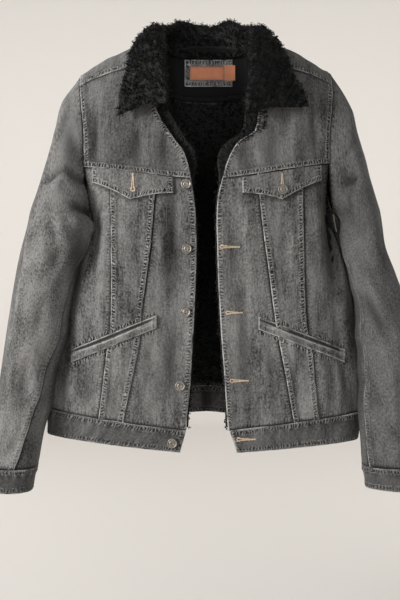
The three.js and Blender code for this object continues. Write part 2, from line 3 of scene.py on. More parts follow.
import bpy
import numpy as np
from mathutils.bvhtree import BVHTree
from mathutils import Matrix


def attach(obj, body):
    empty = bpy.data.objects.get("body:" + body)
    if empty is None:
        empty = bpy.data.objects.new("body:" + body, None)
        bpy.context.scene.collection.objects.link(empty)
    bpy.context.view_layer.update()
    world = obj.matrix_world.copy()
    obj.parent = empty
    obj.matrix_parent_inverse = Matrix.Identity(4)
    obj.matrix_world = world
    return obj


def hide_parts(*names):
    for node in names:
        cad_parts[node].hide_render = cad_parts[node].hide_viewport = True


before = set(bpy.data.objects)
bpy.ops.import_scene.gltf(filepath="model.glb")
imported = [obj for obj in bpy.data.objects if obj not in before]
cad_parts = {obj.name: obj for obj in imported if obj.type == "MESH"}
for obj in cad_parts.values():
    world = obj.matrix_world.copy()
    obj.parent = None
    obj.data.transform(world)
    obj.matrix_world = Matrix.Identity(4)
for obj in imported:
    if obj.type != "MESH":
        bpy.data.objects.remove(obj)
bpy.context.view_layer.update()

# A sherpa lined denim jacket, hanging open. Tables hold millimetres, as a cutter writes them, and
# every mesh is scaled by MM as it is made.
MM = 0.001

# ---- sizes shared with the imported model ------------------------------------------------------
DENIM = 1.6
SHERPA = 6.5
HALF_GAP = 0.15
MID = -38.0
ROUND = 2.5
SHOULDER_TIP = 228.0
SHOULDER_DROP = 86.0
RIDGE_TOP = 20.0
CAP = 90.0
UNDERARM = -292.0
NECK_HALF = 79.0
SHOULDER_GAP = 0.001

BODY = [  # z, left half width, right half width, half depth
    (20, 238, 232, 50),
    (-80, 234, 230, 56),
    (-150, 228, 226, 60),
    (-210, 224, 222, 62),
    (-250, 212, 218, 62),
    (-290, 202, 217, 61),
    (-330, 203, 225, 59),
    (-395, 221, 238, 57),
    (-460, 236, 253, 56),
    (-510, 247, 261, 56),
    (-565, 260, 267, 56),
    (-610, 268, 268, 56),
    (-645, 274, 266, 55),
    (-700, 270, 254, 54),
]
FRONT_SEAMS = {  # distance out from the middle, by height
    "left": {
        "edge": [(20, 76), (-60, 80), (-120, 85), (-133, 82), (-179, 53), (-196, 40), (-226, 30),
                 (-255, 25), (-293, 20), (-349, 18), (-406, 19), (-474, 22), (-547, 26), (-595, 29),
                 (-632, 33), (-661, 35), (-697, 45)],
        "inner": [(-240, 84), (-273, 87), (-349, 93.5), (-406, 101), (-469, 109), (-513, 112),
                  (-595, 129), (-650, 141)],
        "outer": [(-220, 161), (-474, 161), (-532, 168), (-638, 181), (-660, 184)],
    },
    "right": {
        "edge": [(20, 76), (-60, 80), (-120, 84), (-164, 78), (-179, 54), (-207, 36), (-242, 25),
                 (-274, 17.5), (-312, 15.5), (-349, 16.5), (-406, 18), (-463, 21), (-513, 24),
                 (-563, 28), (-633, 32.5), (-659, 35.5), (-697, 49.5)],
        "inner": [(-240, 83), (-272, 86), (-340, 94), (-387, 101), (-474, 112), (-513, 119),
                  (-563, 129), (-650, 145)],
        "outer": [(-220, 160), (-349, 161), (-474, 165), (-529, 175), (-583, 180), (-650, 188)],
    },
}
BACK_SEAM = [(-180, 128), (-400, 112), (-640, 92)]
ARMHOLE = [(20, 66), (-120, 64), (-200, 65), (-240, 70), (-270, 78), (-285, 84), (-292, 90)]
LEVELS = {  # height at the middle front, left side, right side and middle back
    "yoke": (-244, -216, -209, -196),
    "band_top": (-662, -627, -631, -596),
    "hem": (-699, -671, -680, -642),
}
FOLDS = [  # face, from x, z to x, z, half width, how far it stands out
    ("front", 196, -190, 206, -470, 20, -6),
    ("front", 214, -300, 232, -470, 16, 3),
    ("front", -62, -270, -58, -560, 20, -4),
    ("front", 66, -290, 62, -520, 20, -4),
    ("front", -186, -240, -196, -420, 18, -5),
    ("front", -215, -560, -190, -640, 15, -4),
    ("front", 120, -380, 150, -600, 22, 4),
    ("front", -130, -380, -140, -600, 22, 4),
    ("back", -70, -230, -40, -560, 26, 4),
    ("back", 62, -250, 84, -600, 26, -4),
    ("back", -168, -220, -176, -520, 24, -4),
    ("back", 172, -200, 170, -480, 24, -4),
]
CREASES = [  # the same, softer, that only the cloth's surface shows
    ("front", -192, -110, -188, -215, 9, -4.5),
    ("front", -168, -120, -166, -225, 12, 4.0),
    ("front", -116, -150, -118, -228, 10, -5.0),
    ("front", -92, -150, -96, -235, 10, 4.0),
    ("front", -70, -150, -74, -240, 8, -5.0),
    ("front", -54, -236, -54, -470, 11, -8.0),
    ("front", -74, -250, -78, -430, 10, 4.0),
    ("front", -50, -470, -64, -640, 10, -6.0),
    ("front", -84, -500, -100, -650, 12, 4.0),
    ("front", -128, -290, -130, -470, 13, 3.6),
    ("front", -112, -300, -116, -430, 7, -3.0),
    ("front", -186, -260, -196, -440, 10, -4.5),
    ("front", -172, -300, -184, -520, 10, 4.0),
    ("front", -210, -380, -222, -560, 9, 3.6),
    ("front", -206, -540, -188, -640, 10, -6.5),
    ("front", -232, -560, -214, -640, 10, 4.5),
    ("front", -160, -570, -150, -655, 9, -4.0),
    ("front", 56, -150, 66, -238, 9, -5.0),
    ("front", 84, -140, 88, -236, 11, 3.6),
    ("front", 112, -130, 110, -232, 9, -4.0),
    ("front", 142, -110, 148, -228, 11, 3.6),
    ("front", 174, -100, 186, -210, 9, -4.5),
    ("front", 52, -270, 46, -440, 10, -4.5),
    ("front", 70, -290, 72, -430, 9, 3.6),
    ("front", 66, -440, 60, -640, 12, -5.0),
    ("front", 92, -500, 104, -650, 11, 3.8),
    ("front", 128, -290, 126, -450, 11, -4.0),
    ("front", 204, -196, 226, -470, 11, -10.0),
    ("front", 184, -230, 194, -440, 9, 5.0),
    ("front", 214, -440, 236, -610, 9, -6.0),
    ("front", 178, -470, 205, -640, 11, 4.5),
    ("front", 148, -560, 150, -650, 8, -3.4),
    ("front", -232, -640, -120, -672, 4, -2.0),
    ("back", 0, -30, 8, -180, 18, -3.5),
    ("back", -120, -60, -90, -180, 14, -4.0),
    ("back", 118, -50, 92, -185, 14, -4.0),
    ("back", 60, -60, 52, -185, 12, 3.6),
    ("back", 10, -230, -6, -420, 16, -4.5),
    ("back", -20, -440, -8, -590, 12, 4.2),
    ("back", 120, -420, 130, -600, 12, 4.4),
    ("back", -140, -400, -152, -600, 12, -4.4),
    ("back", -100, -230, -110, -420, 12, 4.0),
    ("back", 200, -300, 214, -520, 12, -5.4),
    ("back", -206, -320, -220, -520, 12, -5.2),
]
SLEEVES = {  # outer x, z, inner x, z, half depth, how far forward of the mid plane
    "left": [
        (247, -101, 207, -303, 46, 0), (263, -161, 208, -322, 56, 5), (284, -235, 211, -346, 58, 11),
        (303, -309, 219, -374, 55, 17), (319, -381, 231, -415, 52, 23), (328, -435, 239, -455, 49, 28),
        (335, -490, 249, -503, 47, 33), (344, -553, 264, -560, 45, 37), (352, -610, 273, -615, 43, 41),
        (358, -665, 279, -668, 41, 44), (362, -717.5, 285, -719.5, 38, 46),
    ],
    "right": [
        (249, -118, 224, -300, 46, 0), (268, -201, 233, -318, 55, 2), (283, -252, 238, -338, 56, 4),
        (302, -324, 239, -375, 52, 9), (316, -385, 248, -415, 48, 17), (327, -435, 257, -450, 46, 26),
        (344, -500, 263, -512, 43, 34), (358, -560, 262, -567, 41, 41), (369, -620, 260, -623, 39, 46),
        (376, -670, 259, -673, 37, 50), (381, -717.5, 260, -716, 35, 52),
    ],
}
CUFFS = {
    "left": [(363, -718.5, 285, -720.5, 38.5, 46), (364, -757, 293, -758, 36, 48)],
    "right": [(382, -718.5, 259.5, -717, 35, 52), (384, -758, 264, -752, 33, 53)],
}
SLEEVE_FRONT_SEAM = 176  # degrees round from the outer edge, at the armhole
SLEEVE_FRONT_LOW = {"left": 102, "right": 152}  # the same, at the cuff
SLEEVE_BACK_SEAM = (-128, -112)
CUFF_SHADE = {"left": 0.6, "right": 0.5}
ARM_TOP = -57.4
SLEEVE_GAP = 0.4
# Sleeve creases: face, from x, z to x, z, half width, rise.
SLEEVE_CREASES = {
    "left": [
        ("front", -232, -96, -262, -206, 4.5, 5.5), ("front", -258, -190, -284, -300, 4.5, 5.5),
        ("front", -280, -280, -305, -396, 4.5, 5.5), ("front", -301, -376, -315, -506, 4.5, 5.5),
        ("front", -315, -486, -322, -640, 5, 4.0), ("front", -250, -120, -296, -300, 6, -4.0),
        ("front", -294, -290, -330, -500, 6, -4.0), ("front", -276, -254, -233, -224, 5, -9.5),
        ("front", -240, -226, -190, -252, 5, -9.5), ("front", -268, -268, -232, -242, 8, 7.0),
        ("front", -236, -246, -200, -276, 8, 7.0), ("front", -228, -284, -200, -300, 6, -7.0),
        ("front", -232, -302, -200, -326, 9, 6.5), ("front", -276, -306, -250, -266, 5, 4.5),
        ("front", -262, -300, -248, -352, 10, -5.0), ("front", -244, -300, -234, -366, 8, 4.0),
        ("front", -272, -330, -262, -400, 10, 4.0), ("front", -236, -350, -262, -410, 9, -4.5),
        ("front", -226, -152, -216, -214, 9, -4.0), ("front", -258, -420, -286, -520, 11, -5.0),
        ("front", -246, -470, -262, -560, 10, 4.4), ("front", -292, -520, -304, -640, 10, -4.6),
        ("front", -280, -540, -276, -660, 10, 4.4), ("front", -330, -560, -336, -690, 8, 3.6),
        ("front", -300, -650, -330, -710, 8, -3.6), ("back", -232, -200, -300, -330, 13, -5.4),
        ("back", -270, -420, -310, -520, 12, -5.0), ("back", -300, -560, -330, -680, 12, 4.6),
    ],
    "right": [
        ("front", 252, -168, 224, -210, 7, -6.0), ("front", 262, -190, 226, -232, 8, 6.0),
        ("front", 256, -236, 222, -250, 6, -9.0), ("front", 262, -262, 230, -282, 9, 6.5),
        ("front", 246, -120, 262, -212, 10, -5.0), ("front", 264, -140, 284, -236, 10, 4.6),
        ("front", 232, -276, 258, -352, 9, -5.0), ("front", 254, -420, 298, -516, 8, -9.0),
        ("front", 268, -410, 312, -500, 9, 6.5), ("front", 250, -470, 280, -540, 9, 5.0),
        ("front", 290, -290, 312, -400, 12, -5.0), ("front", 272, -300, 284, -400, 11, 4.6),
        ("front", 316, -400, 340, -520, 11, 4.6), ("front", 262, -560, 286, -640, 10, -5.4),
        ("front", 296, -540, 316, -660, 11, 4.6), ("front", 322, -540, 340, -690, 11, -5.4),
        ("front", 350, -560, 356, -690, 8, 4.0), ("back", 240, -210, 296, -330, 13, -5.2),
        ("back", 268, -420, 310, -540, 12, -5.0), ("back", 300, -580, 340, -690, 12, 4.4),
    ],
}
# Painted shade, in stripes where folds and the sleeves' shadows fall: face, from x, z to x, z, half width,
# how dark.
PAINTED_SHADE = [
    ("front", -58, -240, -60, -450, 9, 0.45), ("front", -52, -440, -64, -620, 8, 0.8),
    ("front", -190, -150, -192, -216, 6, 0.9), ("front", -118, -140, -120, -230, 8, 0.7),
    ("front", -72, -150, -74, -240, 5, 0.8), ("front", 201, -236, 212, -450, 8, 1.7),
    ("front", -218, -300, -226, -460, 9, 2.0), ("front", -226, -430, -248, -620, 7, 1.1),
    ("front", -96, -480, -110, -650, 7, 0.5), ("front", 60, -440, 66, -650, 9, 0.6),
    ("front", 232, -560, 240, -650, 10, 0.9), ("front", 116, -150, 112, -236, 8, 0.7),
    ("front", 62, -170, 70, -240, 7, 0.8), ("front", 236, -400, 254, -560, 8, 1.6),
    ("front", -228, -282, -194, -300, 6, 1.8), ("front", -276, -254, -233, -224, 4, 0.7),
    ("front", -240, -226, -192, -250, 4, 0.7), ("front", 250, -240, 224, -250, 6, 1.8),
    ("front", 256, -430, 290, -506, 6, 0.8), ("front", -252, -120, -276, -206, 4, 0.7),
    ("front", -276, -200, -312, -320, 6, 0.9), ("front", -310, -300, -336, -500, 6, 0.9),
    ("front", -335, -490, -346, -660, 6, 0.7),
]
# Painted shade over whole pieces, for how the light falls on each; below zero, painted light.
PIECE_SHADE = {
    "front_yoke_left": 0.42, "front_yoke_right": 0.36, "front_strip_right": -0.12,
    "front_strip_left": 0.05, "front_side_right": 0.1, "front_centre_left": 0.15,
    "sleeve_top_right": 0.48, "sleeve_under_right": 0.55, "sleeve_top_left": -0.35,
    "front_side_left": -0.2,
}
COLLAR = [  # foot (x, drop over the shoulder), crest of the roll, free edge of the leaf
    ((-86, 1.24), (-66, -123, -126), (-146, -107, -142)),
    ((-84, 1.0), (-70, -120, -88), (-143, -104, -112)),
    ((-81, 0.76), (-75, -106, -34), (-136, -98, -72)),
    ((-80, 0.46), (-77, -80, 8), (-127, -86, -36)),
    ((-79, 0.08), (-72, -48, 15), (-114, -40, 4)),
    ((-72, -0.22), (-60, -17, 32), (-94, 14, -20)),
    ((-42, -0.38), (-42, 2, 45), (-64, 36, -36)),
    ((0, -0.42), (2, 8, 38), (2, 42, -40)),
    ((42, -0.38), (42, 2, 46), (62, 36, -36)),
    ((72, -0.22), (58, -17, 31), (90, 14, -20)),
    ((79, 0.08), (70, -48, 14), (110, -40, 4)),
    ((80, 0.46), (77, -80, 8), (125, -86, -32)),
    ((81, 0.76), (75, -106, -30), (139, -98, -62)),
    ((84, 1.0), (72, -121, -88), (157, -101, -98)),
    ((86, 1.3), (64, -124, -142), (168, -103, -126)),
]
FOOT_LIFT = 4.0
COLLAR_GAP = 1.5
FLAPS = {
    "left": {"outer": (191, -223, -245), "point": (127, -276), "inner": (56, -243, -266)},
    "right": {"outer": (191, -219, -242), "point": (124, -276), "inner": (58, -243, -266)},
}
WELTS = {
    "left": {"outer": (228, -537), "inner": (84, -479), "half": 10.5},
    "right": {"outer": (233, -537), "inner": (85, -481), "half": 10.5},
}
LINING_OUT = -DENIM - 3.2
FACING_HALF, FACING_BOTTOM, FACING_SIDE = 96.0, -82.0, -66.0
PIPING = 7.5
FACING_OUT = -6.5
FACING_IN = -8.5
SIDES = {"left": -1, "right": 1}


# ---- numbers ---------------------------------------------------------------------------------
def lerp(a, b, t):
    """The value a share t of the way from a to b."""
    return a + (b - a) * t


def smooth(t):
    """0 to 1, held past the ends and level at both."""
    t = np.clip(t, 0, 1)
    return t * t * (3 - 2 * t)


def along(rows, place):
    """Smooth values through rows of (place, value) whose places go down, held past the ends."""
    places = np.array([row[0] for row in rows], float)
    values = np.array([row[1] for row in rows], float)
    slopes = np.empty_like(values)
    slopes[1:-1] = (values[2:] - values[:-2]) / (places[2:] - places[:-2])
    slopes[0] = (values[1] - values[0]) / (places[1] - places[0])
    slopes[-1] = (values[-1] - values[-2]) / (places[-1] - places[-2])
    place = np.clip(np.asarray(place, float), places[-1], places[0])
    i = np.clip(np.searchsorted(-places, -place, side="right") - 1, 0, len(places) - 2)
    span = places[i + 1] - places[i]
    t = (place - places[i]) / span
    bend = span * (slopes[i] * t * (1 - t) ** 2 - slopes[i + 1] * t * t * (1 - t))
    return lerp(values[i], values[i + 1], smooth(t)) + bend


def power(value, exponent):
    """A power that keeps the sign."""
    return np.sign(value) * np.abs(value) ** exponent


def noise(x, y, seed=0.0):
    """Smooth noise from -1 to 1 over a plane, one bump per unit."""
    x, y = np.broadcast_arrays(np.asarray(x, float), np.asarray(y, float))
    ix, iy = np.floor(x), np.floor(y)
    fx, fy = smooth(x - ix), smooth(y - iy)

    def corner(dx, dy):
        wave = np.sin((ix + dx) * 127.1 + (iy + dy) * 311.7 + seed * 74.7) * 43758.5453
        return (wave - np.floor(wave)) * 2 - 1

    low = lerp(corner(0, 0), corner(1, 0), fx)
    return lerp(low, lerp(corner(0, 1), corner(1, 1), fx), fy)


# ---- the body's surface ----------------------------------------------------------------------
LEFT_HALF = [(row[0], row[1]) for row in BODY]
RIGHT_HALF = [(row[0], row[2]) for row in BODY]
HALF_DEPTH = [(row[0], row[3]) for row in BODY]


def half_width(x, z):
    """How far the body reaches out from the middle, on the side that x is on."""
    return np.where(np.asarray(x) < 0, along(LEFT_HALF, z), along(RIGHT_HALF, z))


def ridge(x):
    """Height of the shoulder line."""
    return RIDGE_TOP - SHOULDER_DROP * (np.asarray(x) / SHOULDER_TIP) ** 2


def height_at(x, drop):
    """Height after a drop over the shoulder: 0 is the ridge, 1 the end of its round."""
    drop = np.abs(drop)
    rounded = CAP * (1 - np.cos(np.minimum(drop, 1) * np.pi / 2))
    return ridge(x) - rounded - np.maximum(drop - 1, 0) * CAP * np.pi / 2


def drop_at(x, z):
    """The drop that reaches a height; height_at the other way round."""
    fall = np.maximum(ridge(x) - z, 0)
    rounded = np.arccos(np.clip(1 - fall / CAP, 0, 1)) * 2 / np.pi
    return np.where(fall < CAP, rounded, 1 + (fall - CAP) * 2 / (CAP * np.pi))


def across_at(turn, z):
    """Distance out from the middle at a turn, in degrees, round the body."""
    sine = np.sin(np.radians(turn))
    return half_width(sine, z) * power(sine, 2 / ROUND)


def turn_at(x, z):
    """The turn that reaches a distance out; across_at the other way round."""
    share = np.minimum(np.abs(x) / half_width(x, z), 1) ** (ROUND / 2)
    return np.sign(x) * np.degrees(np.arcsin(share))


def smooth_body(turn, drop):
    """The body's surface before any fold."""
    x = np.zeros(np.broadcast(turn, drop).shape)
    z = height_at(x, drop)
    for _ in range(6):
        x = across_at(turn, z)
        z = height_at(x, drop)
    cap = np.where(np.abs(drop) < 1, np.sin(drop * np.pi / 2), np.sign(drop))
    y = MID - along(HALF_DEPTH, z) * power(np.cos(np.radians(turn)), 2 / ROUND) * cap
    return np.stack([x, y, z], -1)


def fold_rise(p, table):
    """How far the folds of a table lift the points."""
    rise = np.zeros(p.shape[:-1])
    for face, x0, z0, x1, z1, width, height in table:
        along_x, along_z = x1 - x0, z1 - z0
        t = ((p[..., 0] - x0) * along_x + (p[..., 2] - z0) * along_z) / (along_x**2 + along_z**2)
        inside = (t > 0) & (t < 1) & ((p[..., 1] < MID) == (face == "front"))
        t = np.clip(t, 0, 1)
        away = np.hypot(p[..., 0] - lerp(x0, x1, t), p[..., 2] - lerp(z0, z1, t)) / width
        rise += np.where(inside, height * np.exp(-away * away) * np.sin(np.pi * t) ** 1.3, 0)
    return rise


def unit(v):
    """Vectors of length 1 along v."""
    return v / np.maximum(np.linalg.norm(v, axis=-1, keepdims=True), 1e-9)


def body_frame(turn, drop):
    """The denim's outer surface with its main folds, and the way out from it."""
    here = smooth_body(turn, drop)
    across = smooth_body(turn + 1, drop) - smooth_body(turn - 1, drop)
    down = smooth_body(turn, drop + 0.02) - smooth_body(turn, drop - 0.02)
    out = unit(np.cross(down, across))
    return here + out * fold_rise(here, FOLDS)[..., None], out


def body_at(turn, drop, lift=0.0):
    here, out = body_frame(np.asarray(turn, float), np.asarray(drop, float))
    return here + out * lift


def level(name, turn):
    """Height of a level seam at a turn; past 90 degrees it is on the back."""
    front, left_side, right_side, back = LEVELS[name]
    side = np.where(turn < 0, left_side, right_side)
    middle = np.where(np.abs(turn) < 90, front, back)
    return lerp(middle, side, np.abs(np.sin(np.radians(turn))))


def behind(turn):
    """The turn on the front that lies in line with one on the back."""
    return np.where(turn < 0, -180, 180) - turn


def seam_turn(rows, sign, shift=0.0):
    """An upright seam as a function of height, from its distances out from the middle."""
    return lambda z: turn_at(sign * (along(rows, z) + shift), z)


def armhole_turn(sign, inset):
    """The armhole's seam as a function of height, moved in by inset."""
    def turn(z):
        there = sign * along(ARMHOLE, z)
        moved = turn_at(across_at(there, z) - sign * inset, z)
        return np.where(z <= UNDERARM, sign * 90.0, moved)

    return turn


def level_drop(name, shift, face=1):
    """A level seam as a drop, on the front (1) or the back (-1)."""
    return lambda x, turn: face * drop_at(x, level(name, turn if face > 0 else behind(turn)) + shift)


def shoulder_seam(x):
    """Drop of the seam in front of the shoulder, nearer the ridge at the armhole."""
    return lerp(0.68, 0.46, np.clip((np.abs(x) - 130) / 85, 0, 1))


# ---- meshes ----------------------------------------------------------------------------------
UV_NAME = "cloth"


def mesh_object(name, points, quads, uv=None, attributes=None, flat_from=None):
    """A mesh object from points in millimetres and faces of three or four corners each."""
    quads = np.asarray(quads, np.int32)
    corners = quads.shape[1]
    mesh = bpy.data.meshes.new(name)
    mesh.vertices.add(len(points))
    mesh.vertices.foreach_set("co", (np.asarray(points) * MM).astype(np.float32).ravel())
    mesh.loops.add(quads.size)
    mesh.loops.foreach_set("vertex_index", quads.ravel())
    mesh.polygons.add(len(quads))
    mesh.polygons.foreach_set("loop_start", np.arange(0, quads.size, corners, dtype=np.int32))
    smooth_faces = np.ones(len(quads), bool)
    if flat_from is not None:
        smooth_faces[flat_from:] = False
    mesh.polygons.foreach_set("use_smooth", smooth_faces)
    if uv is not None:
        layer = mesh.uv_layers.new(name=UV_NAME)
        layer.uv.foreach_set("vector", (np.asarray(uv) * MM)[quads.ravel()].astype(np.float32).ravel())
    for key, values in (attributes or {}).items():
        layer = mesh.attributes.new(key, "FLOAT", "POINT")
        layer.data.foreach_set("value", np.asarray(values, np.float32).ravel())
    mesh.update(calc_edges=True)
    mesh.validate()
    obj = bpy.data.objects.new(name, mesh)
    bpy.context.scene.collection.objects.link(obj)
    return obj


def grid_quads(rows, columns, loop=False):
    """Corner numbers of a grid's faces."""
    last = columns if loop else columns - 1
    r, c = np.meshgrid(np.arange(rows - 1), np.arange(last), indexing="ij")
    after = (c + 1) % columns
    faces = [r * columns + c, r * columns + after, (r + 1) * columns + after, (r + 1) * columns + c]
    return np.stack(faces, -1).reshape(-1, 4)


def wall_quads(rows, columns, loop=False):
    """Faces of a closed wall: outer grid, inner grid, then the rims, which stay flat shaded."""
    count = rows * columns
    outer = grid_quads(rows, columns, loop)
    inner = outer[:, ::-1] + count

    def at(r, c):
        return r * columns + c % columns

    c = np.arange(columns if loop else columns - 1)
    top = np.stack([at(0, c + 1), at(0, c), at(0, c) + count, at(0, c + 1) + count], -1)
    end = rows - 1
    low = np.stack([at(end, c), at(end, c + 1), at(end, c + 1) + count, at(end, c) + count], -1)
    rims = [top, low]
    if not loop:
        r = np.arange(rows - 1)
        rims.append(np.stack([at(r, 0), at(r + 1, 0), at(r + 1, 0) + count, at(r, 0) + count], -1))
        far = columns - 1
        sides = [at(r + 1, far), at(r, far), at(r, far) + count, at(r + 1, far) + count]
        rims.append(np.stack(sides, -1))
    return np.concatenate([outer, inner, *rims]), 2 * len(outer)


def outward(points, faces):
    """The faces of a closed shape, turned round if they point into it."""
    p = np.asarray(points, float)[faces]
    fans = range(1, faces.shape[1] - 1)
    volume = sum(np.einsum("ij,ij->", p[:, 0], np.cross(p[:, k], p[:, k + 1])) for k in fans)
    return faces if volume >= 0 else faces[:, ::-1]


def capped(rings, start, end):
    """Points and faces of a closed tube through rings (row, side, xyz), with a point at each end."""
    rows, sides = rings.shape[:2]
    quads = grid_quads(rows, sides, loop=True)
    i = np.arange(sides)
    after = (i + 1) % sides
    far = (rows - 1) * sides
    near_cap = np.stack([np.full(sides, rows * sides), after, i], -1)
    far_cap = np.stack([far + i, far + after, np.full(sides, rows * sides + 1)], -1)
    points = np.concatenate([rings.reshape(-1, 3), [start], [end]])
    faces = np.concatenate([quads[:, [0, 1, 2]], quads[:, [0, 2, 3]], near_cap, far_cap])
    return points, outward(points, faces)


def place_piece(obj, node=None, material=None):
    """Puts a finished piece in the frame, in the place of the node that it stands for."""
    if material:
        obj.data.materials.append(material)
    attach(obj, "root")
    if node:
        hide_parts(node)


# ---- cloth pieces ----------------------------------------------------------------------------
FINE, COARSE, MARGIN = 2.0, 4.4, 15.0
FELLED = 9.0  # width of a felled seam's raised band
FAR_AWAY = 100.0  # stands for no edge near


def graded(length, coarse=COARSE, fine=FINE, margin=MARGIN):
    """Places from 0 to 1 along a length, closer together near both ends."""
    if length < 2 * margin + coarse:
        return np.linspace(0, 1, max(int(length / fine), 3) + 1)
    edge = np.linspace(0, margin, int(round(margin / fine)), endpoint=False)
    middle = np.linspace(margin, length - margin, int((length - 2 * margin) / coarse) + 2)
    return np.concatenate([edge, middle, length - edge[::-1]]) / length


def panel_spots(left, right, top, bottom, s, t):
    """Turns and drops of a grid between two upright and two level seams."""
    s, t = np.meshgrid(s, t)
    z = np.full(s.shape, -300.0)
    for _ in range(12):
        turn = lerp(left(z), right(z), s)
        x = across_at(turn, z)
        drop = lerp(top(x, turn), bottom(x, turn), t)
        z = height_at(x, drop)
    return turn, drop


def run_lengths(points, axis):
    """Distance walked along a grid's rows (axis 1) or columns (axis 0)."""
    steps = np.linalg.norm(np.diff(points, axis=axis), axis=-1)
    start = np.zeros_like(np.take(steps, [0], axis=axis))
    return np.cumsum(np.concatenate([start, steps], axis=axis), axis=axis)


class Cloth:
    """A grid of points on a surface with the ways out from it, and what its edges are."""

    def __init__(self, name, points, out, seed):
        self.name = name
        self.out = out
        self.seed = seed
        self.across = run_lengths(points, 1)
        self.down = run_lengths(points, 0)
        self.grain = self.across + points[:, :1, 0]  # upright, whatever shape the edge is
        self.fall = self.down
        self.base = points
        self.away = {
            "left": self.across,
            "right": self.across[:, -1:] - self.across,
            "top": self.down,
            "bottom": self.down[-1:] - self.down,
        }
        self.rise = np.zeros(points.shape[:-1])
        self.wear = np.zeros_like(self.rise)
        self.shade = np.zeros_like(self.rise)
        self.pull = {side: 0.0 for side in self.away}
        self.trim = np.full_like(self.rise, FAR_AWAY)  # distance out from a pocket's edge

    def fold_shade_and_wear(self, rise):
        """Painted shade in the troughs of the folds, and wear that fades their ridges."""
        self.shade += 0.085 * np.maximum(-rise - 0.8, 0)
        self.wear += 0.03 * np.maximum(rise - 1.2, 0)

    def slack(self, height, size, stretch=2.2):
        """Gentle unevenness, longer down the cloth than across."""
        x, z = self.base[..., 0] / size, self.base[..., 2] / (size * stretch)
        side = np.where(self.base[..., 1] < MID, 0.0, 31.0)
        bumps = noise(x + side, z + self.seed) + 0.5 * noise(x * 2.3 + side, z * 1.7, self.seed)
        self.rise += height * bumps
        # Painted shade in the hollows of the unevenness and painted light on its bumps.
        self.shade -= 0.1 * bumps

    def edge(self, side, kind):
        """Shapes one edge: lap is a felled seam's raised band, under its partner, hem a turned edge."""
        away = self.away[side]
        run = self.down if side in ("left", "right") else self.across
        order = {"left": 3, "right": 5, "top": 7, "bottom": 9}[side] + self.seed
        pull, lift, worn, ripple = {
            "lap": (1.0, 0.95, 0.9, 0.45),
            "under": (0.3, -0.3, 0.1, 0.3),
            "hem": (0.85, 0.35, 1.0, 0.35),
        }[kind]
        self.pull[side] = pull
        raised = 1 - smooth((away - FELLED) / 2.2)
        soft = np.exp(-(((away - 5) / 9) ** 2))
        self.rise += lift * raised + ripple * soft * noise(run / 12, order)
        line = np.exp(-((away / 1.3) ** 2)) + 0.3 * np.exp(-(((away - FELLED) / 1.6) ** 2))
        self.wear += worn * line * (0.75 + 0.6 * noise(run / 9, order + 8))
        # Painted shadow: a dark line on the cloth under a lap, by its edge, and painted shade just past a
        # lap's raised band.
        if kind == "under":
            self.shade += 3.4 * np.exp(-((away / 2.3) ** 2)) + 0.3 * np.exp(-away / 9)
        elif kind == "lap":
            self.shade += 0.4 * np.exp(-(((away - FELLED - 2.0) / 1.6) ** 2))

    def gather(self, side, height):
        """Deeper gathers, as where a band is sewn to the body, with painted shade in their troughs and
        painted light on their ridges.
        """
        run = self.down if side in ("left", "right") else self.across
        wave = np.sin(run * 2 * np.pi / 17 + 5 * noise(run / 40, self.seed))
        wave = wave * (0.5 + 0.8 * np.abs(noise(run / 26, self.seed + 4)))
        reach = np.exp(-(((self.away[side] - 8.5) / 5.5) ** 2)) * wave
        self.rise += height * reach
        self.shade -= 1.0 * reach

    def nearer(self, first, second):
        """Distance from the nearer of two opposite edges, and how hard that edge pulls."""
        close = self.away[first] < self.away[second]
        pull = np.where(close, self.pull[first], self.pull[second])
        return np.minimum(self.away[first], self.away[second]), pull

    def surface(self, lift=0.0):
        return self.base + self.out * (self.rise + lift)[..., None]

    def row_at(self, side, distance, trim=1.0, lift=0.25):
        """Points on the surface at a distance in from one edge."""
        p = self.surface(lift)
        away = self.away[side]
        if side in ("top", "bottom"):
            p, away = np.swapaxes(p, 0, 1), away.T
        if away[0, 0] > away[0, -1]:
            p, away = p[:, ::-1], away[:, ::-1]
        found = [[np.interp(distance, away[i], p[i, :, k]) for k in range(3)] for i in range(len(p))]
        found = np.array(found)
        walked = run_lengths(found[None], 1)[0]
        keep = (walked >= trim) & (walked <= walked[-1] - trim)
        return found[keep]

    def make(self, wall, loop=False):
        rows, columns = self.rise.shape
        outer, inner = self.surface(), self.base + self.out * (self.rise * 0.8 - wall)[..., None]
        points = np.concatenate([outer.reshape(-1, 3), inner.reshape(-1, 3)])
        quads, flat_from = wall_quads(rows, columns, loop)
        quads = outward(points, quads)
        plan = np.stack([self.grain, -self.fall], -1).reshape(-1, 2)
        plan = plan + np.array([self.seed * 37.0, self.seed * 53.0])
        fields = {"wear": self.wear, "shade": self.shade}
        fields["side_away"], fields["side_pull"] = self.nearer("left", "right")
        fields["end_away"], fields["end_pull"] = self.nearer("top", "bottom")
        fields["trim_away"] = self.trim
        twice = {key: np.tile(value.ravel(), 2) for key, value in fields.items()}
        obj = mesh_object(self.name + "_cloth", points, quads, np.tile(plan, (2, 1)), twice, flat_from)
        self.size = (self.across.max(), self.down.max())
        return obj

    def area(self):
        p = self.surface()
        a, b = p[1:, 1:] - p[:-1, :-1], p[1:, :-1] - p[:-1, 1:]
        return float(np.linalg.norm(np.cross(a, b), axis=-1).sum() / 2)


def finish_cloth(obj, cloth, material, loop_width=None):
    """Gives a cloth piece its material and its place in the frame; the size and area it works out go unused.
    """
    place_piece(obj, cloth.name, material)
    width = (loop_width or cloth.size[0]) * MM
    length = cloth.size[1] * MM
    area = min(cloth.area() * MM * MM, width * length)


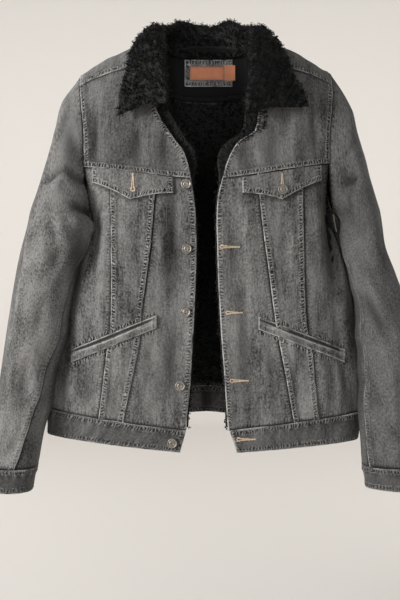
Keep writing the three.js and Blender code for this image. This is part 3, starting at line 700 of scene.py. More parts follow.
# ---- shaders ---------------------------------------------------------------------------------
class Wire:
    """A number socket that can stand in a Python expression."""

    def __init__(self, graph, socket):
        self.graph = graph
        self.socket = socket

    def _math(self, operation, a, b):
        node = self.graph.node("ShaderNodeMath", {"operation": operation}, {0: a, 1: b})
        return Wire(self.graph, node.outputs[0])

    def __add__(self, other):
        return self._math("ADD", self, other)

    __radd__ = __add__

    def __sub__(self, other):
        return self._math("SUBTRACT", self, other)

    def __rsub__(self, other):
        return self._math("SUBTRACT", other, self)

    def __mul__(self, other):
        return self._math("MULTIPLY", self, other)

    __rmul__ = __mul__

    def __truediv__(self, other):
        return self._math("DIVIDE", self, other)

    def exp(self):
        return self._math("EXPONENT", self, 0.0)

    def sine(self):
        return self._math("SINE", self, 0.0)

    def bell(self, centre, width):
        """1 at the centre, fading to nothing a few widths away."""
        away = (self - centre) / width
        return (away * away * -1.0).exp()


class Graph:
    """A material's node tree, written one node at a time."""

    def __init__(self, name):
        self.material = bpy.data.materials.new(name)
        self.material.use_nodes = True
        self.tree = self.material.node_tree
        self.tree.nodes.clear()

    def node(self, kind, settings=None, values=None):
        node = self.tree.nodes.new(kind)
        for key, value in (settings or {}).items():
            if key == "stops":
                self._stops(node.color_ramp, value)
            else:
                setattr(node, key, value)
        for key, value in (values or {}).items():
            socket = node.inputs[key]
            if isinstance(value, Wire):
                value = value.socket
            if isinstance(value, bpy.types.NodeSocket):
                self.tree.links.new(value, socket)
            else:
                socket.default_value = value
        return node

    @staticmethod
    def _stops(ramp, stops):
        while len(ramp.elements) < len(stops):
            ramp.elements.new(0.5)
        for element, (place, colour) in zip(ramp.elements, stops):
            element.position = place
            element.color = (*colour, 1.0)

    def wire(self, node, output=0):
        return Wire(self, node.outputs[output])

    def clamp(self, value):
        node = self.node("ShaderNodeClamp", None, {"Value": value})
        return self.wire(node)

    def attribute(self, name):
        node = self.node("ShaderNodeAttribute", {"attribute_name": name})
        return self.wire(node, "Fac")

    def noise(self, vector, scale, detail=3.0, rough=0.55):
        values = {"Vector": vector, "Scale": scale, "Detail": detail, "Roughness": rough}
        return self.wire(self.node("ShaderNodeTexNoise", None, values), "Fac")

    def stretched(self, vector, scale):
        node = self.node("ShaderNodeMapping", None, {"Vector": vector, "Scale": scale})
        return node.outputs[0]

    def mix(self, factor, a, b):
        """Blends two colours."""
        node = self.node("ShaderNodeMix", {"data_type": "RGBA"})
        for key, value in (("Factor", factor), ("A", a), ("B", b)):
            kinds = "VALUE" if key == "Factor" else "RGBA"
            socket = next(s for s in node.inputs if s.name == key and s.type == kinds)
            if isinstance(value, Wire):
                value = value.socket
            if isinstance(value, bpy.types.NodeSocket):
                self.tree.links.new(value, socket)
            else:
                socket.default_value = (*value, 1.0) if kinds == "RGBA" else value
        return next(s for s in node.outputs if s.type == "RGBA")

    def bump(self, height, distance, strength=1.0, normal=None):
        values = {"Height": height, "Distance": distance, "Strength": strength}
        if normal is not None:
            values["Normal"] = normal
        return self.node("ShaderNodeBump", None, values).outputs[0]

    def surface(self, values):
        shader = self.node("ShaderNodeBsdfPrincipled", None, values)
        self.node("ShaderNodeOutputMaterial", None, {"Surface": shader.outputs[0]})
        return self.material


TURN = 2 * math.pi
TICK = 0.0052  # metres between the puckers that a row of stitches draws up


def puckers(g, uv):
    """Short ridges across every seam and hem, drawn up by its stitches, from -1 to 1."""
    place = g.node("ShaderNodeSeparateXYZ", None, {"Vector": uv})
    sway = g.noise(uv, 95.0, 2.0, 0.6) * 16.0
    fade = g.noise(uv, 62.0, 3.0, 0.7) * 3.6 - 0.9
    total = 0.0
    for run, name in ((1, "side"), (0, "end")):
        away = g.attribute(name + "_away") * MM
        wave = (g.wire(place, run) * (TURN / TICK) + away * 60.0 + sway).sine()
        total = total + wave * away.bell(0.0046, 0.0034) * g.attribute(name + "_pull")
    wave = (g.wire(place, 0) * (TURN / TICK) + sway).sine()
    total = total + wave * (g.attribute("trim_away") * MM).bell(0.0036, 0.0034)
    return total * g.clamp(fade)


def washed_denim(name, pale, dark, rubbed, streaky=1.0):
    """Stone-washed twill: cloudy fading, slubby grain down the cloth, rubbed seams, with painted shade and
    painted light on the puckers.
    """
    g = Graph(name)
    uv = g.node("ShaderNodeUVMap", {"uv_map": UV_NAME}).outputs[0]
    clouds = g.noise(g.stretched(uv, (1.0, 0.45, 1.0)), 8.0, 3.0, 0.55) - 0.5
    patches = g.noise(g.stretched(uv, (1.0, 0.55, 1.0)), 34.0, 4.0, 0.6) - 0.5
    streaks = g.noise(g.stretched(uv, (1.0, 0.11, 1.0)), 52.0, 2.0, 0.6) - 0.5
    upright = 0.6 - 0.44 * streaky
    grain = g.noise(g.stretched(uv, (1.0, upright, 1.0)), 420.0, 3.0, 0.65) - 0.5
    flecks = g.noise(g.stretched(uv, (1.0, 0.75, 1.0)), 300.0, 3.0, 0.7) - 0.5
    ticks = puckers(g, uv)
    wear = g.attribute("wear")
    shade = g.attribute("shade")
    tone = clouds * 1.1 + patches * 1.1 + streaks * (1.1 * streaky) + grain * 0.9 + flecks * 1.7
    # The shade attribute darkens the tone as painted shade, and the puckers' ticks add painted light and
    # shade; the rubbed ridges below are wear.
    tone = g.clamp(tone + 0.50 + ticks * 0.8) * (shade * -0.8).exp()
    colour = g.mix(g.clamp(tone), dark, pale)
    colour = g.mix(g.clamp((ticks - 0.35 + flecks * 1.5) * 1.2) * 0.5, colour, rubbed)
    edge = g.clamp((wear - 0.15) * 1.6 + flecks * wear * 1.6)
    colour = g.mix(edge * 0.9, colour, rubbed)
    twill = g.node("ShaderNodeTexWave", {"bands_direction": "DIAGONAL"},
                   {"Vector": uv, "Scale": 420.0, "Distortion": 1.2, "Detail": 1.0})
    weave = g.bump(g.wire(twill) * 0.35 + grain * 0.9 + flecks * 1.2, 0.0007, 0.7)
    normal = g.bump(ticks, 0.0013, 1.0, weave)
    return g.surface({
        "Base Color": colour, "Roughness": 0.92, "Normal": normal,
        "Sheen Weight": 0.1, "Sheen Roughness": 0.5, "Specular IOR Level": 0.2,
    })


def dark_pile(name, tint, pale):
    """Black curly pile, a little lighter where the curls catch light."""
    g = Graph(name)
    place = g.node("ShaderNodeTexCoord").outputs["Object"]
    curls = g.noise(place, 260.0, 3.0, 0.6)
    clumps = g.noise(place, 60.0, 2.0, 0.5)
    colour = g.mix(g.clamp(curls * 1.6 + clumps * 0.8 - 0.85), tint, pale)
    normal = g.bump(curls, 0.003, 0.9)
    return g.surface({
        "Base Color": colour, "Roughness": 0.45, "Normal": normal, "Specular IOR Level": 0.2,
    })


def plain_weave(name, tint, pale, count):
    """A small even weave, for the facing and the labels."""
    g = Graph(name)
    uv = g.node("ShaderNodeUVMap", {"uv_map": UV_NAME}).outputs[0]
    warp, weft = (
        g.wire(g.node("ShaderNodeTexWave", {"bands_direction": way}, {"Vector": uv, "Scale": count}), "Fac")
        for way in "XY"
    )
    fade = g.noise(uv, 90.0, 3.0, 0.6)
    thread = warp * weft
    colour = g.mix(g.clamp(thread * 0.8 + fade * 0.9 - 0.45), tint, pale)
    return g.surface({
        "Base Color": colour, "Roughness": 0.85, "Normal": g.bump(thread, 0.0005, 0.6),
        "Sheen Weight": 0.1, "Specular IOR Level": 0.25,
    })


def thread_finish(name, tint, pale):
    """Sewing thread, uneven from the wash."""
    g = Graph(name)
    place = g.node("ShaderNodeTexCoord").outputs["Object"]
    colour = g.mix(g.noise(place, 120.0, 2.0, 0.6), tint, pale)
    return g.surface({"Base Color": colour, "Roughness": 0.7, "Specular IOR Level": 0.3})


def worn_metal(name):
    """Antiqued metal, dark in the hollows of its tarnish and bright where it is rubbed."""
    g = Graph(name)
    place = g.node("ShaderNodeTexCoord").outputs["Object"]
    tarnish = g.noise(place, 700.0, 4.0, 0.65)
    blotch = g.noise(place, 240.0, 2.0, 0.5)
    colour = g.mix(g.clamp(tarnish * 1.4 + blotch - 0.8), (0.07, 0.065, 0.055), (0.46, 0.43, 0.38))
    return g.surface({
        "Base Color": colour, "Metallic": 0.7, "Roughness": tarnish * 0.3 + 0.3,
        "Normal": g.bump(tarnish, 0.0003, 0.4),
    })


GREY_WASH = ((0.245, 0.240, 0.236), (0.016, 0.016, 0.016), (0.47, 0.46, 0.445))  # pale, dark, rubbed
denim = washed_denim("washed grey denim", *GREY_WASH)
sleeve_denim = washed_denim("washed grey sleeve denim", *GREY_WASH, streaky=0.3)
band_denim = washed_denim("band denim", (0.150, 0.147, 0.144), (0.024, 0.024, 0.024), (0.38, 0.37, 0.36))
pile = dark_pile("black sherpa backing", (0.0022, 0.0022, 0.0023), (0.006, 0.006, 0.006))
curl = dark_pile("black sherpa curls", (0.0010, 0.0010, 0.0010), (0.013, 0.013, 0.0125))
facing_cloth = plain_weave("black facing twill", (0.004, 0.004, 0.0045), (0.014, 0.014, 0.014), 300.0)
patch_denim = washed_denim("patch denim", (0.34, 0.345, 0.35), (0.05, 0.051, 0.052), (0.85, 0.85, 0.85))
label_weave = plain_weave("copper label weave", (0.84, 0.31, 0.16), (0.97, 0.50, 0.32), 260.0)
tonal_thread = thread_finish("washed grey thread", (0.12, 0.118, 0.113), (0.34, 0.33, 0.315))
faded_thread = thread_finish("faded tan thread", (0.075, 0.062, 0.048), (0.20, 0.165, 0.13))
copper_thread = thread_finish("pale copper thread", (0.38, 0.27, 0.17), (0.80, 0.68, 0.52))
shank_metal = worn_metal("worn antique nickel")


# ---- body panels -----------------------------------------------------------------------------
cloths = {}
seam_rows = []  # stitch lines, as arrays of points in millimetres
NEAR_ROW, FAR_ROW = 2.0, 7.6
PLACKET_ROW = 2.2
BAND_ROW = 3.0


def creased(name, spots, seed, faded=True):
    """Cloth over spots of the body with its small creases and its painted shade; if faded, painted shade in
    the creases' troughs and wear on their ridges.
    """
    base, out = body_frame(*spots)
    folded = fold_rise(base, CREASES)
    cloth = Cloth(name, base + out * folded[..., None], out, seed)
    if faded:
        cloth.fold_shade_and_wear(folded)
    cloth.shade += fold_rise(base, PAINTED_SHADE) + PIECE_SHADE.get(name, 0.0)
    cloths[name] = cloth
    return cloth


def body_cloth(name, left, right, top, bottom, size, seed):
    """A panel of the body between four seams; size is about how wide and high it is."""
    width, height = size
    return creased(name, panel_spots(left, right, top, bottom, graded(width), graded(height)), seed)


def between(sign, nearer, farther):
    """Left and right seams from the one nearer the middle and the one farther out."""
    return {"left": farther, "right": nearer} if sign < 0 else {"left": nearer, "right": farther}


def toward(sign):
    """Names of a side piece's edges: the one towards the middle and the one away from it."""
    return ("right", "left") if sign < 0 else ("left", "right")


def add_rows(cloth, side, distances=(NEAR_ROW, FAR_ROW), trim=1.0):
    """Adds rows of stitches at distances in from one edge."""
    for distance in distances:
        seam_rows.append(cloth.row_at(side, distance, trim))


def mark_welt(cloth):
    """Tells a front's cloth how far it lies from the slanted welt over it."""
    x, z = np.abs(cloth.base[..., 0]), cloth.base[..., 2]
    welt = WELTS["left" if cloth.base[0, 0, 0] < 0 else "right"]
    (x0, z0), (x1, z1) = welt["outer"], welt["inner"]
    line = lerp(z0, z1, (x - x0) / (x1 - x0))
    beyond = np.maximum(np.maximum(x1 - x, x - x0), 0)
    cloth.trim = np.maximum(np.abs(z - line) - welt["half"], 0) + 4 * beyond
    cloth.trim[(np.abs(z - line) < welt["half"]) | (cloth.base[..., 1] > MID)] = FAR_AWAY
    # Painted shadow along the welt's edges.
    cloth.shade += 0.7 * np.exp(-((cloth.trim / 2.4) ** 2))


def paint_flap_shadow(cloth):
    """Paints the flap's shadow on a front's cloth, along the lower edge of the flap over it."""
    x, z = np.abs(cloth.base[..., 0]), cloth.base[..., 2]
    flap = FLAPS["left" if cloth.base[0, 0, 0] < 0 else "right"]
    outer, inner = flap["outer"], flap["inner"]
    low = np.interp(x, (inner[0], flap["point"][0], outer[0]), (inner[2], flap["point"][1], outer[2]))
    below = (x > inner[0] - 2) & (x < outer[0] + 2) & (cloth.base[..., 1] < MID)
    cloth.shade += np.where(below, 1.3 * np.exp(-(((z - low + 1.0) / 3.4) ** 2)), 0)


def sew_panel(cloth, edges):
    """Shapes a panel's edges and makes it; lapped edges get their two rows of stitches."""
    cloth.slack(1.9, 30, 3.0)
    if cloth.name.startswith("front_") and "yoke" not in cloth.name:
        mark_welt(cloth)
        paint_flap_shadow(cloth)
    for side, kind in edges.items():
        cloth.edge(side, kind)
    obj = cloth.make(DENIM)
    for side, kind in edges.items():
        if kind == "lap":
            add_rows(cloth, side)
    finish_cloth(obj, cloth, denim)


def sew_front(number, side, sign):
    """One front: its yoke, then the centre panel, the strip and the side panel below."""
    inward, away = toward(sign)
    edge = seam_turn(FRONT_SEAMS[side]["edge"], sign)
    armhole = armhole_turn(sign, HALF_GAP)
    yoke = body_cloth(
        f"front_yoke_{side}", **between(sign, edge, armhole),
        top=lambda x, turn: shoulder_seam(x) + SHOULDER_GAP,
        bottom=level_drop("yoke", HALF_GAP), size=(170, 190), seed=1 + number,
    )
    sew_panel(yoke, {"top": "under", "bottom": "lap", away: "lap", inward: "hem"})

    def seam(name, gap):
        return seam_turn(FRONT_SEAMS[side][name], sign, gap)

    panels = [  # part, nearer seam, farther seam, size, seed, nearer edge, farther edge
        ("centre", edge, seam("inner", -HALF_GAP), (80, 420), 3, "hem", "under"),
        ("strip", seam("inner", HALF_GAP), seam("outer", -HALF_GAP), (60, 415), 5, "lap", "lap"),
        ("side", seam("outer", HALF_GAP), armhole, (120, 415), 7, "under", "under"),
    ]
    for part, nearer, farther, size, seed, near_kind, far_kind in panels:
        panel = body_cloth(
            f"front_{part}_{side}", **between(sign, nearer, farther), top=level_drop("yoke", -HALF_GAP),
            bottom=level_drop("band_top", HALF_GAP), size=size, seed=seed + number,
        )
        sew_panel(panel, {"top": "under", "bottom": "under", away: far_kind, inward: near_kind})
    for part in ("yoke", "centre"):
        add_rows(cloths[f"front_{part}_{side}"], inward, (PLACKET_ROW,), 2.0)


YOKE_COLUMNS = [  # top x, top drop, bottom x
    (213, 0.46, 206), (180, 0.55, 186), (146, 0.64, 166), (112, 0.68, 146), (80, 0.68, 128),
    (79, 0.42, 112), (79, 0.14, 97), (76, -0.12, 80), (60, -0.3, 58), (32, -0.4, 30), (0, -0.43, 0),
]


def yoke_columns(sign):
    """One half of the fan, from the armhole to the middle: top x, top drop, bottom x, bottom drop."""
    side_level = LEVELS["yoke"][1 if sign < 0 else 2]
    far = float(np.abs(across_at(armhole_turn(sign, HALF_GAP)(np.array(side_level)), np.array(side_level))))
    rows = []
    for i, (top_x, top_drop, table_x) in enumerate(YOKE_COLUMNS):
        bottom_x = table_x if i else far
        seam = level("yoke", behind(turn_at(sign * bottom_x, side_level))) + HALF_GAP
        start = shoulder_seam(top_x) - SHOULDER_GAP if top_x > NECK_HALF else top_drop
        rows.append((sign * top_x, start, sign * bottom_x, -float(drop_at(sign * bottom_x, seam))))
    return np.array(rows)


def back_yoke_cloth():
    """The back yoke, fanned from the neck edge and shoulder seams to its straight lower seam."""
    t = graded(200)[:, None]
    columns = np.concatenate([yoke_columns(-1), yoke_columns(1)[:-1][::-1]])
    places = np.arange(len(columns))
    fine = np.concatenate([np.linspace(i, i + 1, 5, endpoint=False) for i in places[:-1]] + [[places[-1]]])
    top_x, top_drop, low_x, low_drop = (np.interp(fine, places, columns[:, k]) for k in range(4))
    x = lerp(top_x[None], low_x[None], t)
    drop = lerp(top_drop[None], low_drop[None], t)
    for column, sign in ((0, -1), (-1, 1)):
        z = height_at(x[:, column], drop[:, column])
        x[:, column] = across_at(armhole_turn(sign, HALF_GAP)(z), z)
    turn = turn_at(x, height_at(x, drop))
    cloth = creased("back_yoke", (turn, drop), 9)
    cloth.grain = body_at(turn, drop)[..., 0]
    cloth.fall = cloth.down - cloth.down[-1:]
    return cloth


def sew_back():
    """The back: its yoke, its centre panel and the two sides."""
    sew_panel(back_yoke_cloth(), {"top": "lap", "bottom": "lap", "left": "lap", "right": "lap"})
    below = {"top": level_drop("yoke", -HALF_GAP, -1), "bottom": level_drop("band_top", HALF_GAP, -1)}
    centre = body_cloth(
        "back_centre", seam_turn(BACK_SEAM, -1, -HALF_GAP), seam_turn(BACK_SEAM, 1, -HALF_GAP),
        **below, size=(215, 400), seed=10,
    )
    sew_panel(centre, {"top": "under", "bottom": "under", "left": "under", "right": "under"})
    for number, (side, sign) in enumerate(SIDES.items()):
        inward, away = toward(sign)
        flank = body_cloth(
            f"back_side_{side}",
            **between(sign, seam_turn(BACK_SEAM, sign, HALF_GAP), armhole_turn(sign, HALF_GAP)),
            **below, size=(150, 400), seed=11 + number,
        )
        sew_panel(flank, {"top": "under", "bottom": "under", inward: "lap", away: "lap"})


for number, (side, sign) in enumerate(SIDES.items()):
    sew_front(number, side, sign)
sew_back()


# ---- waistband -------------------------------------------------------------------------------
BAND_WALL = 3.0


def band_spots(side, sign):
    """Spots of one half of the waistband, from the front edge round to the middle of the back."""
    t = graded(38)[:, None]
    s = graded(310, coarse=3.0)[None]
    start_x = sign * along(FRONT_SEAMS[side]["edge"], lerp(-662, -699, t))
    turn = sign * lerp(np.abs(turn_at(start_x, -680.0)), 180.0, s)
    near = np.where(np.abs(turn) < 90, turn, behind(turn))
    z = lerp(level("band_top", turn) - HALF_GAP, level("hem", turn), t)
    return near, np.where(np.abs(turn) < 90, 1, -1) * drop_at(across_at(near, z), z)


def sew_waistband(number, side, sign):
    """One half of the waistband, gathered to the body along its top."""
    base, out = body_frame(*band_spots(side, sign))
    band = Cloth(f"waistband_{side}", base + out * 0.6, out, 13 + number)
    cloths[band.name] = band
    band.slack(0.5, 30, 0.6)
    for edge_side, kind in (("top", "lap"), ("bottom", "hem"), ("left", "hem"), ("right", "under")):
        band.edge(edge_side, kind)
    band.gather("top", 1.3)
    finish_cloth(band.make(BAND_WALL), band, band_denim)
    add_rows(band, "top", (NEAR_ROW,))
    add_rows(band, "bottom", (BAND_ROW,))


for number, (side, sign) in enumerate(SIDES.items()):
    sew_waistband(number, side, sign)


# ---- sleeves ---------------------------------------------------------------------------------
SEAM_SPLIT = 0.15  # degrees from each seam to the cloth on either side
RING_ROUND = 2.2


def armhole_point(sign, angle):
    """The armhole's edge at an angle round the sleeve, 0 at its top."""
    share = (1 - np.cos(np.radians(angle))) / 2
    z = lerp(ARM_TOP, UNDERARM, share)
    turn = armhole_turn(sign, -SLEEVE_GAP)(z)
    drop = drop_at(across_at(turn, z), z)
    return body_at(turn, np.where(np.sin(np.radians(angle)) < 0, -drop, drop))


def ring_point(sign, ring, angle):
    """A point of one of the sleeve's sections at an angle round it."""
    outer_x, outer_z, inner_x, inner_z, depth, forward = (ring[..., k] for k in range(6))
    reach = power(np.cos(np.radians(angle)), 2 / RING_ROUND) / 2
    side = power(np.sin(np.radians(angle)), 2 / RING_ROUND)
    x = sign * ((outer_x + inner_x) / 2 + (outer_x - inner_x) * reach)
    y = MID - forward - depth * side
    return np.stack([x, y, (outer_z + inner_z) / 2 + (outer_z - inner_z) * reach], -1)


def sleeve_point(side, row, angle):
    """The sleeve through its rings; row 0 is the armhole."""
    sign, rings = SIDES[side], np.array(SLEEVES[side], float)
    last = len(rings)
    arm = armhole_point(sign, angle)
    k = np.clip(np.floor(row).astype(int), 0, last - 1)
    t = (row - k)[..., None]

    def at(index):
        index = np.clip(index, 0, last)
        ring = ring_point(sign, rings[np.maximum(index, 1) - 1], angle)
        return np.where((index <= 0)[..., None], arm, ring)

    a, b, c, d = at(k - 1), at(k), at(k + 1), at(k + 2)
    return b + 0.5 * t * (c - a + t * (2 * a - 5 * b + 4 * c - d + t * (3 * (b - c) + d - a)))


def front_seam_angle(side, share):
    """Where the front seam runs, a share of the way down the sleeve."""
    return lerp(SLEEVE_FRONT_SEAM, SLEEVE_FRONT_LOW[side], share**3.2)


def rear_seam_angle(share):
    return lerp(*SLEEVE_BACK_SEAM, share)


def inner_swell(side, row, angle):
    """The swell towards the body, and its hind part: in front below the armhole, behind all down."""
    wrapped = (angle + 180) % 360 - 180
    begins = 0.3 if side == "left" else 1.3
    inner = np.exp(-(((np.abs(wrapped) - 180) / 48) ** 2))
    swell = 11.5 * smooth((row - begins) / 1.4) * (1 - 0.85 * smooth((row - 3.0) / 1.6)) * inner
    rear = np.exp(-(((wrapped + 142) / 30) ** 2))
    behind_arm = smooth((row - 0.8) / 1.2) * (1 - 0.8 * smooth((row - 8) / 3)) * rear
    return swell + 15.0 * behind_arm, behind_arm


def sleeve_cloth(name, side, from_angle, to_angle, girth, seed):
    """One piece of a sleeve between two seams, which are functions of the share down it."""
    last = len(SLEEVES[side])
    row = np.linspace(0, last, int(655 / COARSE))[:, None]
    row, s = np.broadcast_arrays(row, graded(girth)[None])
    angle = lerp(from_angle(row / last), to_angle(row / last), s)
    here = sleeve_point(side, row, angle)
    round_way = sleeve_point(side, row, angle + 3) - sleeve_point(side, row, angle - 3)
    down = sleeve_point(side, np.minimum(row + 0.1, last), angle)
    down = down - sleeve_point(side, np.maximum(row - 0.1, 0), angle)
    out = unit(np.cross(down, round_way)) * -SIDES[side]
    rise = fold_rise(here, SLEEVE_CREASES[side])
    swell, behind_arm = inner_swell(side, row, angle)
    cloth = Cloth(name, here + out * (rise + swell)[..., None], out, seed)
    # Painted shade: on the hind swell where the sleeve meets the body, in the troughs and stripes of its
    # folds, and over the whole piece; wear fades the fold ridges.
    cloth.shade += 3.0 * behind_arm
    cloth.fold_shade_and_wear(rise)
    cloth.shade += fold_rise(here, PAINTED_SHADE) + PIECE_SHADE.get(name, 0.0)
    # The grain runs straight down the sleeve, whatever the creases do.
    middle = cloth.across.shape[1] // 2
    from_middle = cloth.across - cloth.across[:, middle:middle + 1]
    cloth.grain = np.broadcast_to(from_middle.mean(0), row.shape)
    cloth.fall = np.broadcast_to(cloth.down.mean(1, keepdims=True), row.shape)
    cloths[name] = cloth
    return cloth


def finish_sleeve(cloth, slack, kind):
    """Shapes a sleeve piece whose two long edges are of one kind, and makes it."""
    cloth.slack(slack, 38, 1.6)
    for edge_side, edge_kind in (("top", "under"), ("bottom", "under"), ("right", kind), ("left", kind)):
        cloth.edge(edge_side, edge_kind)
    for edge_side in ("left", "right"):
        cloth.pull[edge_side] *= 0.4
    finish_cloth(cloth.make(DENIM), cloth, sleeve_denim)


def sew_sleeve(number, side):
    """The two pieces of a sleeve; the top one laps over the other at the back."""
    top = sleeve_cloth(
        f"sleeve_top_{side}", side, lambda share: rear_seam_angle(share) + SEAM_SPLIT,
        lambda share: front_seam_angle(side, share) - SEAM_SPLIT, 240, 15 + number,
    )
    under = sleeve_cloth(
        f"sleeve_under_{side}", side, lambda share: front_seam_angle(side, share) + SEAM_SPLIT,
        lambda share: rear_seam_angle(share) + 360 - SEAM_SPLIT, 100, 17 + number,
    )
    finish_sleeve(top, 1.4, "lap")
    finish_sleeve(under, 1.2, "under")
    add_rows(top, "left")


def sew_cuff(number, side, sign):
    """A plain closed band at the end of a sleeve."""
    start, end = (np.array(ring, float) for ring in CUFFS[side])
    t = graded(38)[:, None]
    ring = lerp(start, end, t[..., None])
    t, angle = np.broadcast_arrays(t, np.linspace(0, 360, 96, endpoint=False)[None])
    here = ring_point(sign, ring, angle)
    around = ring_point(sign, ring, angle + 3) - ring_point(sign, ring, angle - 3)
    down = ring_point(sign, end, angle) - ring_point(sign, start, angle)
    out = unit(np.cross(down, around)) * -sign
    cuff = Cloth(f"cuff_{side}", here + out, out, 19 + number)
    cuff.slack(0.5, 26, 0.7)
    cuff.edge("top", "lap")
    cuff.edge("bottom", "hem")
    cuff.gather("top", 0.9)
    cuff.shade += CUFF_SHADE[side]
    girth = float(cuff.across[0, -1] + np.linalg.norm(here[0, 0] - here[0, -1]))
    finish_cloth(cuff.make(BAND_WALL, loop=True), cuff, band_denim, girth)
    add_rows(cuff, "top", (NEAR_ROW, 7.0))
    add_rows(cuff, "bottom", (BAND_ROW,))


for number, (side, sign) in enumerate(SIDES.items()):
    sew_sleeve(number, side)
    sew_cuff(number, side, sign)


# ---- pockets ---------------------------------------------------------------------------------
POCKET_WALL = 2.0
POCKET_TRIM = 1.6  # how far a row of stitches stops short of a corner
EDGE_ROW = 1.8


def slope(x, start, end):
    """Height at a distance out, on the line between two (distance, height) points."""
    return lerp(start[1], end[1], (x - start[0]) / (end[0] - start[0]))


def on_front(name, sign, nearer, farther, top, bottom, s, t, seed):
    """Cloth laid on a front, between two distances from the middle and two heights by distance."""
    spots = panel_spots(
        **between(sign, lambda z: turn_at(sign * nearer, z), lambda z: turn_at(sign * farther, z)),
        top=lambda x, turn: drop_at(x, top(np.abs(x))),
        bottom=lambda x, turn: drop_at(x, bottom(np.abs(x))), s=s, t=t,
    )
    return creased(name, spots, seed, faded=False)


def sew_flap(number, side, sign):
    """A pointed pocket flap that hangs from the yoke seam, standing off a little at its point."""
    flap = FLAPS[side]
    (outer_x, outer_top, outer_low), tip, (inner_x, inner_top, inner_low) = (
        flap["outer"], flap["point"], flap["inner"])

    def low(x):
        outside = x > tip[0]
        line = np.where(outside, slope(x, (outer_x, outer_low), tip), slope(x, tip, (inner_x, inner_low)))
        share = np.where(outside, (x - tip[0]) / (outer_x - tip[0]), (tip[0] - x) / (tip[0] - inner_x))
        return line + 2.2 * np.sin(np.pi * np.clip(share, 0, 1))

    cloth = on_front(
        f"pocket_flap_{side}", sign, inner_x, outer_x,
        lambda x: slope(x, (outer_x, outer_top + 2), (inner_x, inner_top + 2)), low,
        graded(136, coarse=2.6), graded(36, coarse=2.6), 21 + number,
    )
    below_top = cloth.away["top"]
    cloth.rise += 2.0 + 1.0 * smooth(below_top / 10) + 1.4 * smooth(below_top / 34) ** 2
    cloth.slack(0.6, 22, 1.2)
    for edge_side in ("left", "right", "bottom"):
        cloth.edge(edge_side, "hem")
    finish_cloth(cloth.make(POCKET_WALL), cloth, denim)
    for edge_side in ("left", "right", "bottom"):
        add_rows(cloth, edge_side, (EDGE_ROW, 7.4), POCKET_TRIM)


def open_welt(cloth):
    """The pocket's mouth, a trough along the welt with painted shade in it, and the worn lip beside it."""
    across = cloth.away["top"] / (cloth.away["top"] + cloth.away["bottom"])
    middle = np.sin(np.pi * np.clip(cloth.away["left"] / cloth.across[:, -1:], 0, 1))
    mouth = np.exp(-(((across - 0.22) / (0.03 + 0.1 * middle)) ** 2)) * smooth(middle * 3)
    lip = np.exp(-(((across - 0.3 - 0.16 * middle) / 0.045) ** 2)) * smooth(middle * 3)
    cloth.rise += 0.7 * lip - 2.2 * mouth
    cloth.shade += 3.2 * mouth
    cloth.wear += 0.4 * lip


def sew_welt(number, side, sign):
    """A slanted welt with the mouth of the hand pocket along it."""
    welt = WELTS[side]

    def line(x, shift):
        return slope(x, welt["outer"], welt["inner"]) + shift

    cloth = on_front(
        f"welt_{side}", sign, welt["inner"][0], welt["outer"][0],
        lambda x: line(x, welt["half"]), lambda x: line(x, -welt["half"]),
        graded(160, coarse=2.8), graded(22, fine=1.4), 23 + number,
    )
    cloth.rise += 1.6 + 1.0 * smooth(cloth.away["top"] / 4) * smooth(cloth.away["bottom"] / 4)
    open_welt(cloth)
    for edge_side in ("left", "right", "top", "bottom"):
        cloth.edge(edge_side, "hem")
        cloth.pull[edge_side] = 0.15
    finish_cloth(cloth.make(POCKET_WALL), cloth, denim)
    for edge_side in ("top", "bottom"):
        add_rows(cloth, edge_side, (EDGE_ROW,), POCKET_TRIM)
    for edge_side in ("left", "right"):
        add_rows(cloth, edge_side, (2.0, 6.0), POCKET_TRIM)


for number, (side, sign) in enumerate(SIDES.items()):
    sew_flap(number, side, sign)
    sew_welt(number, side, sign)


# ---- lining, facing and labels ---------------------------------------------------------------
LINING_SIDE = 84.0
ARMHOLE_INSET = 9.0
LINING_LOW = 4.0
NECK_GRID = 60.0  # height that the pieces inside the back neck are divided for


def lining_side(sign):
    """The lining's side edge, held in from the armhole."""
    turn = armhole_turn(sign, ARMHOLE_INSET)
    return lambda z: sign * np.minimum(np.abs(turn(z)), LINING_SIDE)


def pile_bumps(cloth, height, size):
    """Uneven clumps of curled pile on the face that shows."""
    x, y = cloth.across / size, cloth.down / size
    bumps = np.abs(noise(x, y, cloth.seed)) + 0.6 * np.abs(noise(x * 2.1, y * 2.1, cloth.seed + 1))
    return height * (bumps - 0.55)


def sew_lining(name, spots, seed, clump=7.0):
    """A wall of lining with its pile on the side towards the wearer."""
    cloth = inward_cloth(name, spots, LINING_OUT, seed)
    cloth.rise += SHERPA + pile_bumps(cloth, 2.6, clump)
    finish_cloth(cloth.make(0.0), cloth, pile)


def inward_cloth(name, spots, lift, seed):
    """Cloth on the inside of the body, its way out turned towards the wearer."""
    base, out = body_frame(*spots)
    cloth = Cloth(name, base + out * lift, -out, seed)
    cloths[name] = cloth
    return cloth


def front_lining_edge(rows, sign):
    """The lining's free edge: just past the denim low down, well past it at the turned neck."""

    def edge(z):
        reach = 2.5 + 19 * smooth((z + 260) / 70) * (1 - smooth((z + 112) / 30))
        return turn_at(sign * (along(rows, z) - reach), z)

    return edge


def sew_front_lining(number, side, sign):
    spots = panel_spots(
        **between(sign, front_lining_edge(FRONT_SEAMS[side]["edge"], sign), lining_side(sign)),
        top=lambda x, turn: shoulder_seam(x) - 0.08, bottom=level_drop("band_top", LINING_LOW),
        s=graded(230, coarse=7, fine=3), t=graded(620, coarse=7, fine=3),
    )
    sew_lining(f"lining_front_{side}", spots, 25 + number)


def facing_bottom(x):
    """Height of the facing's curved lower edge."""
    return lerp(FACING_BOTTOM, FACING_SIDE, (np.asarray(x) / FACING_HALF) ** 2)


def lining_top(x):
    """Height of the lining's top, under the facing's cord and up to the shoulders."""
    climb = np.clip((np.abs(x) - FACING_HALF - 12) / 28, 0, 1)
    return lerp(facing_bottom(x) - PIPING - 4.5, ridge(x) - 16, climb)


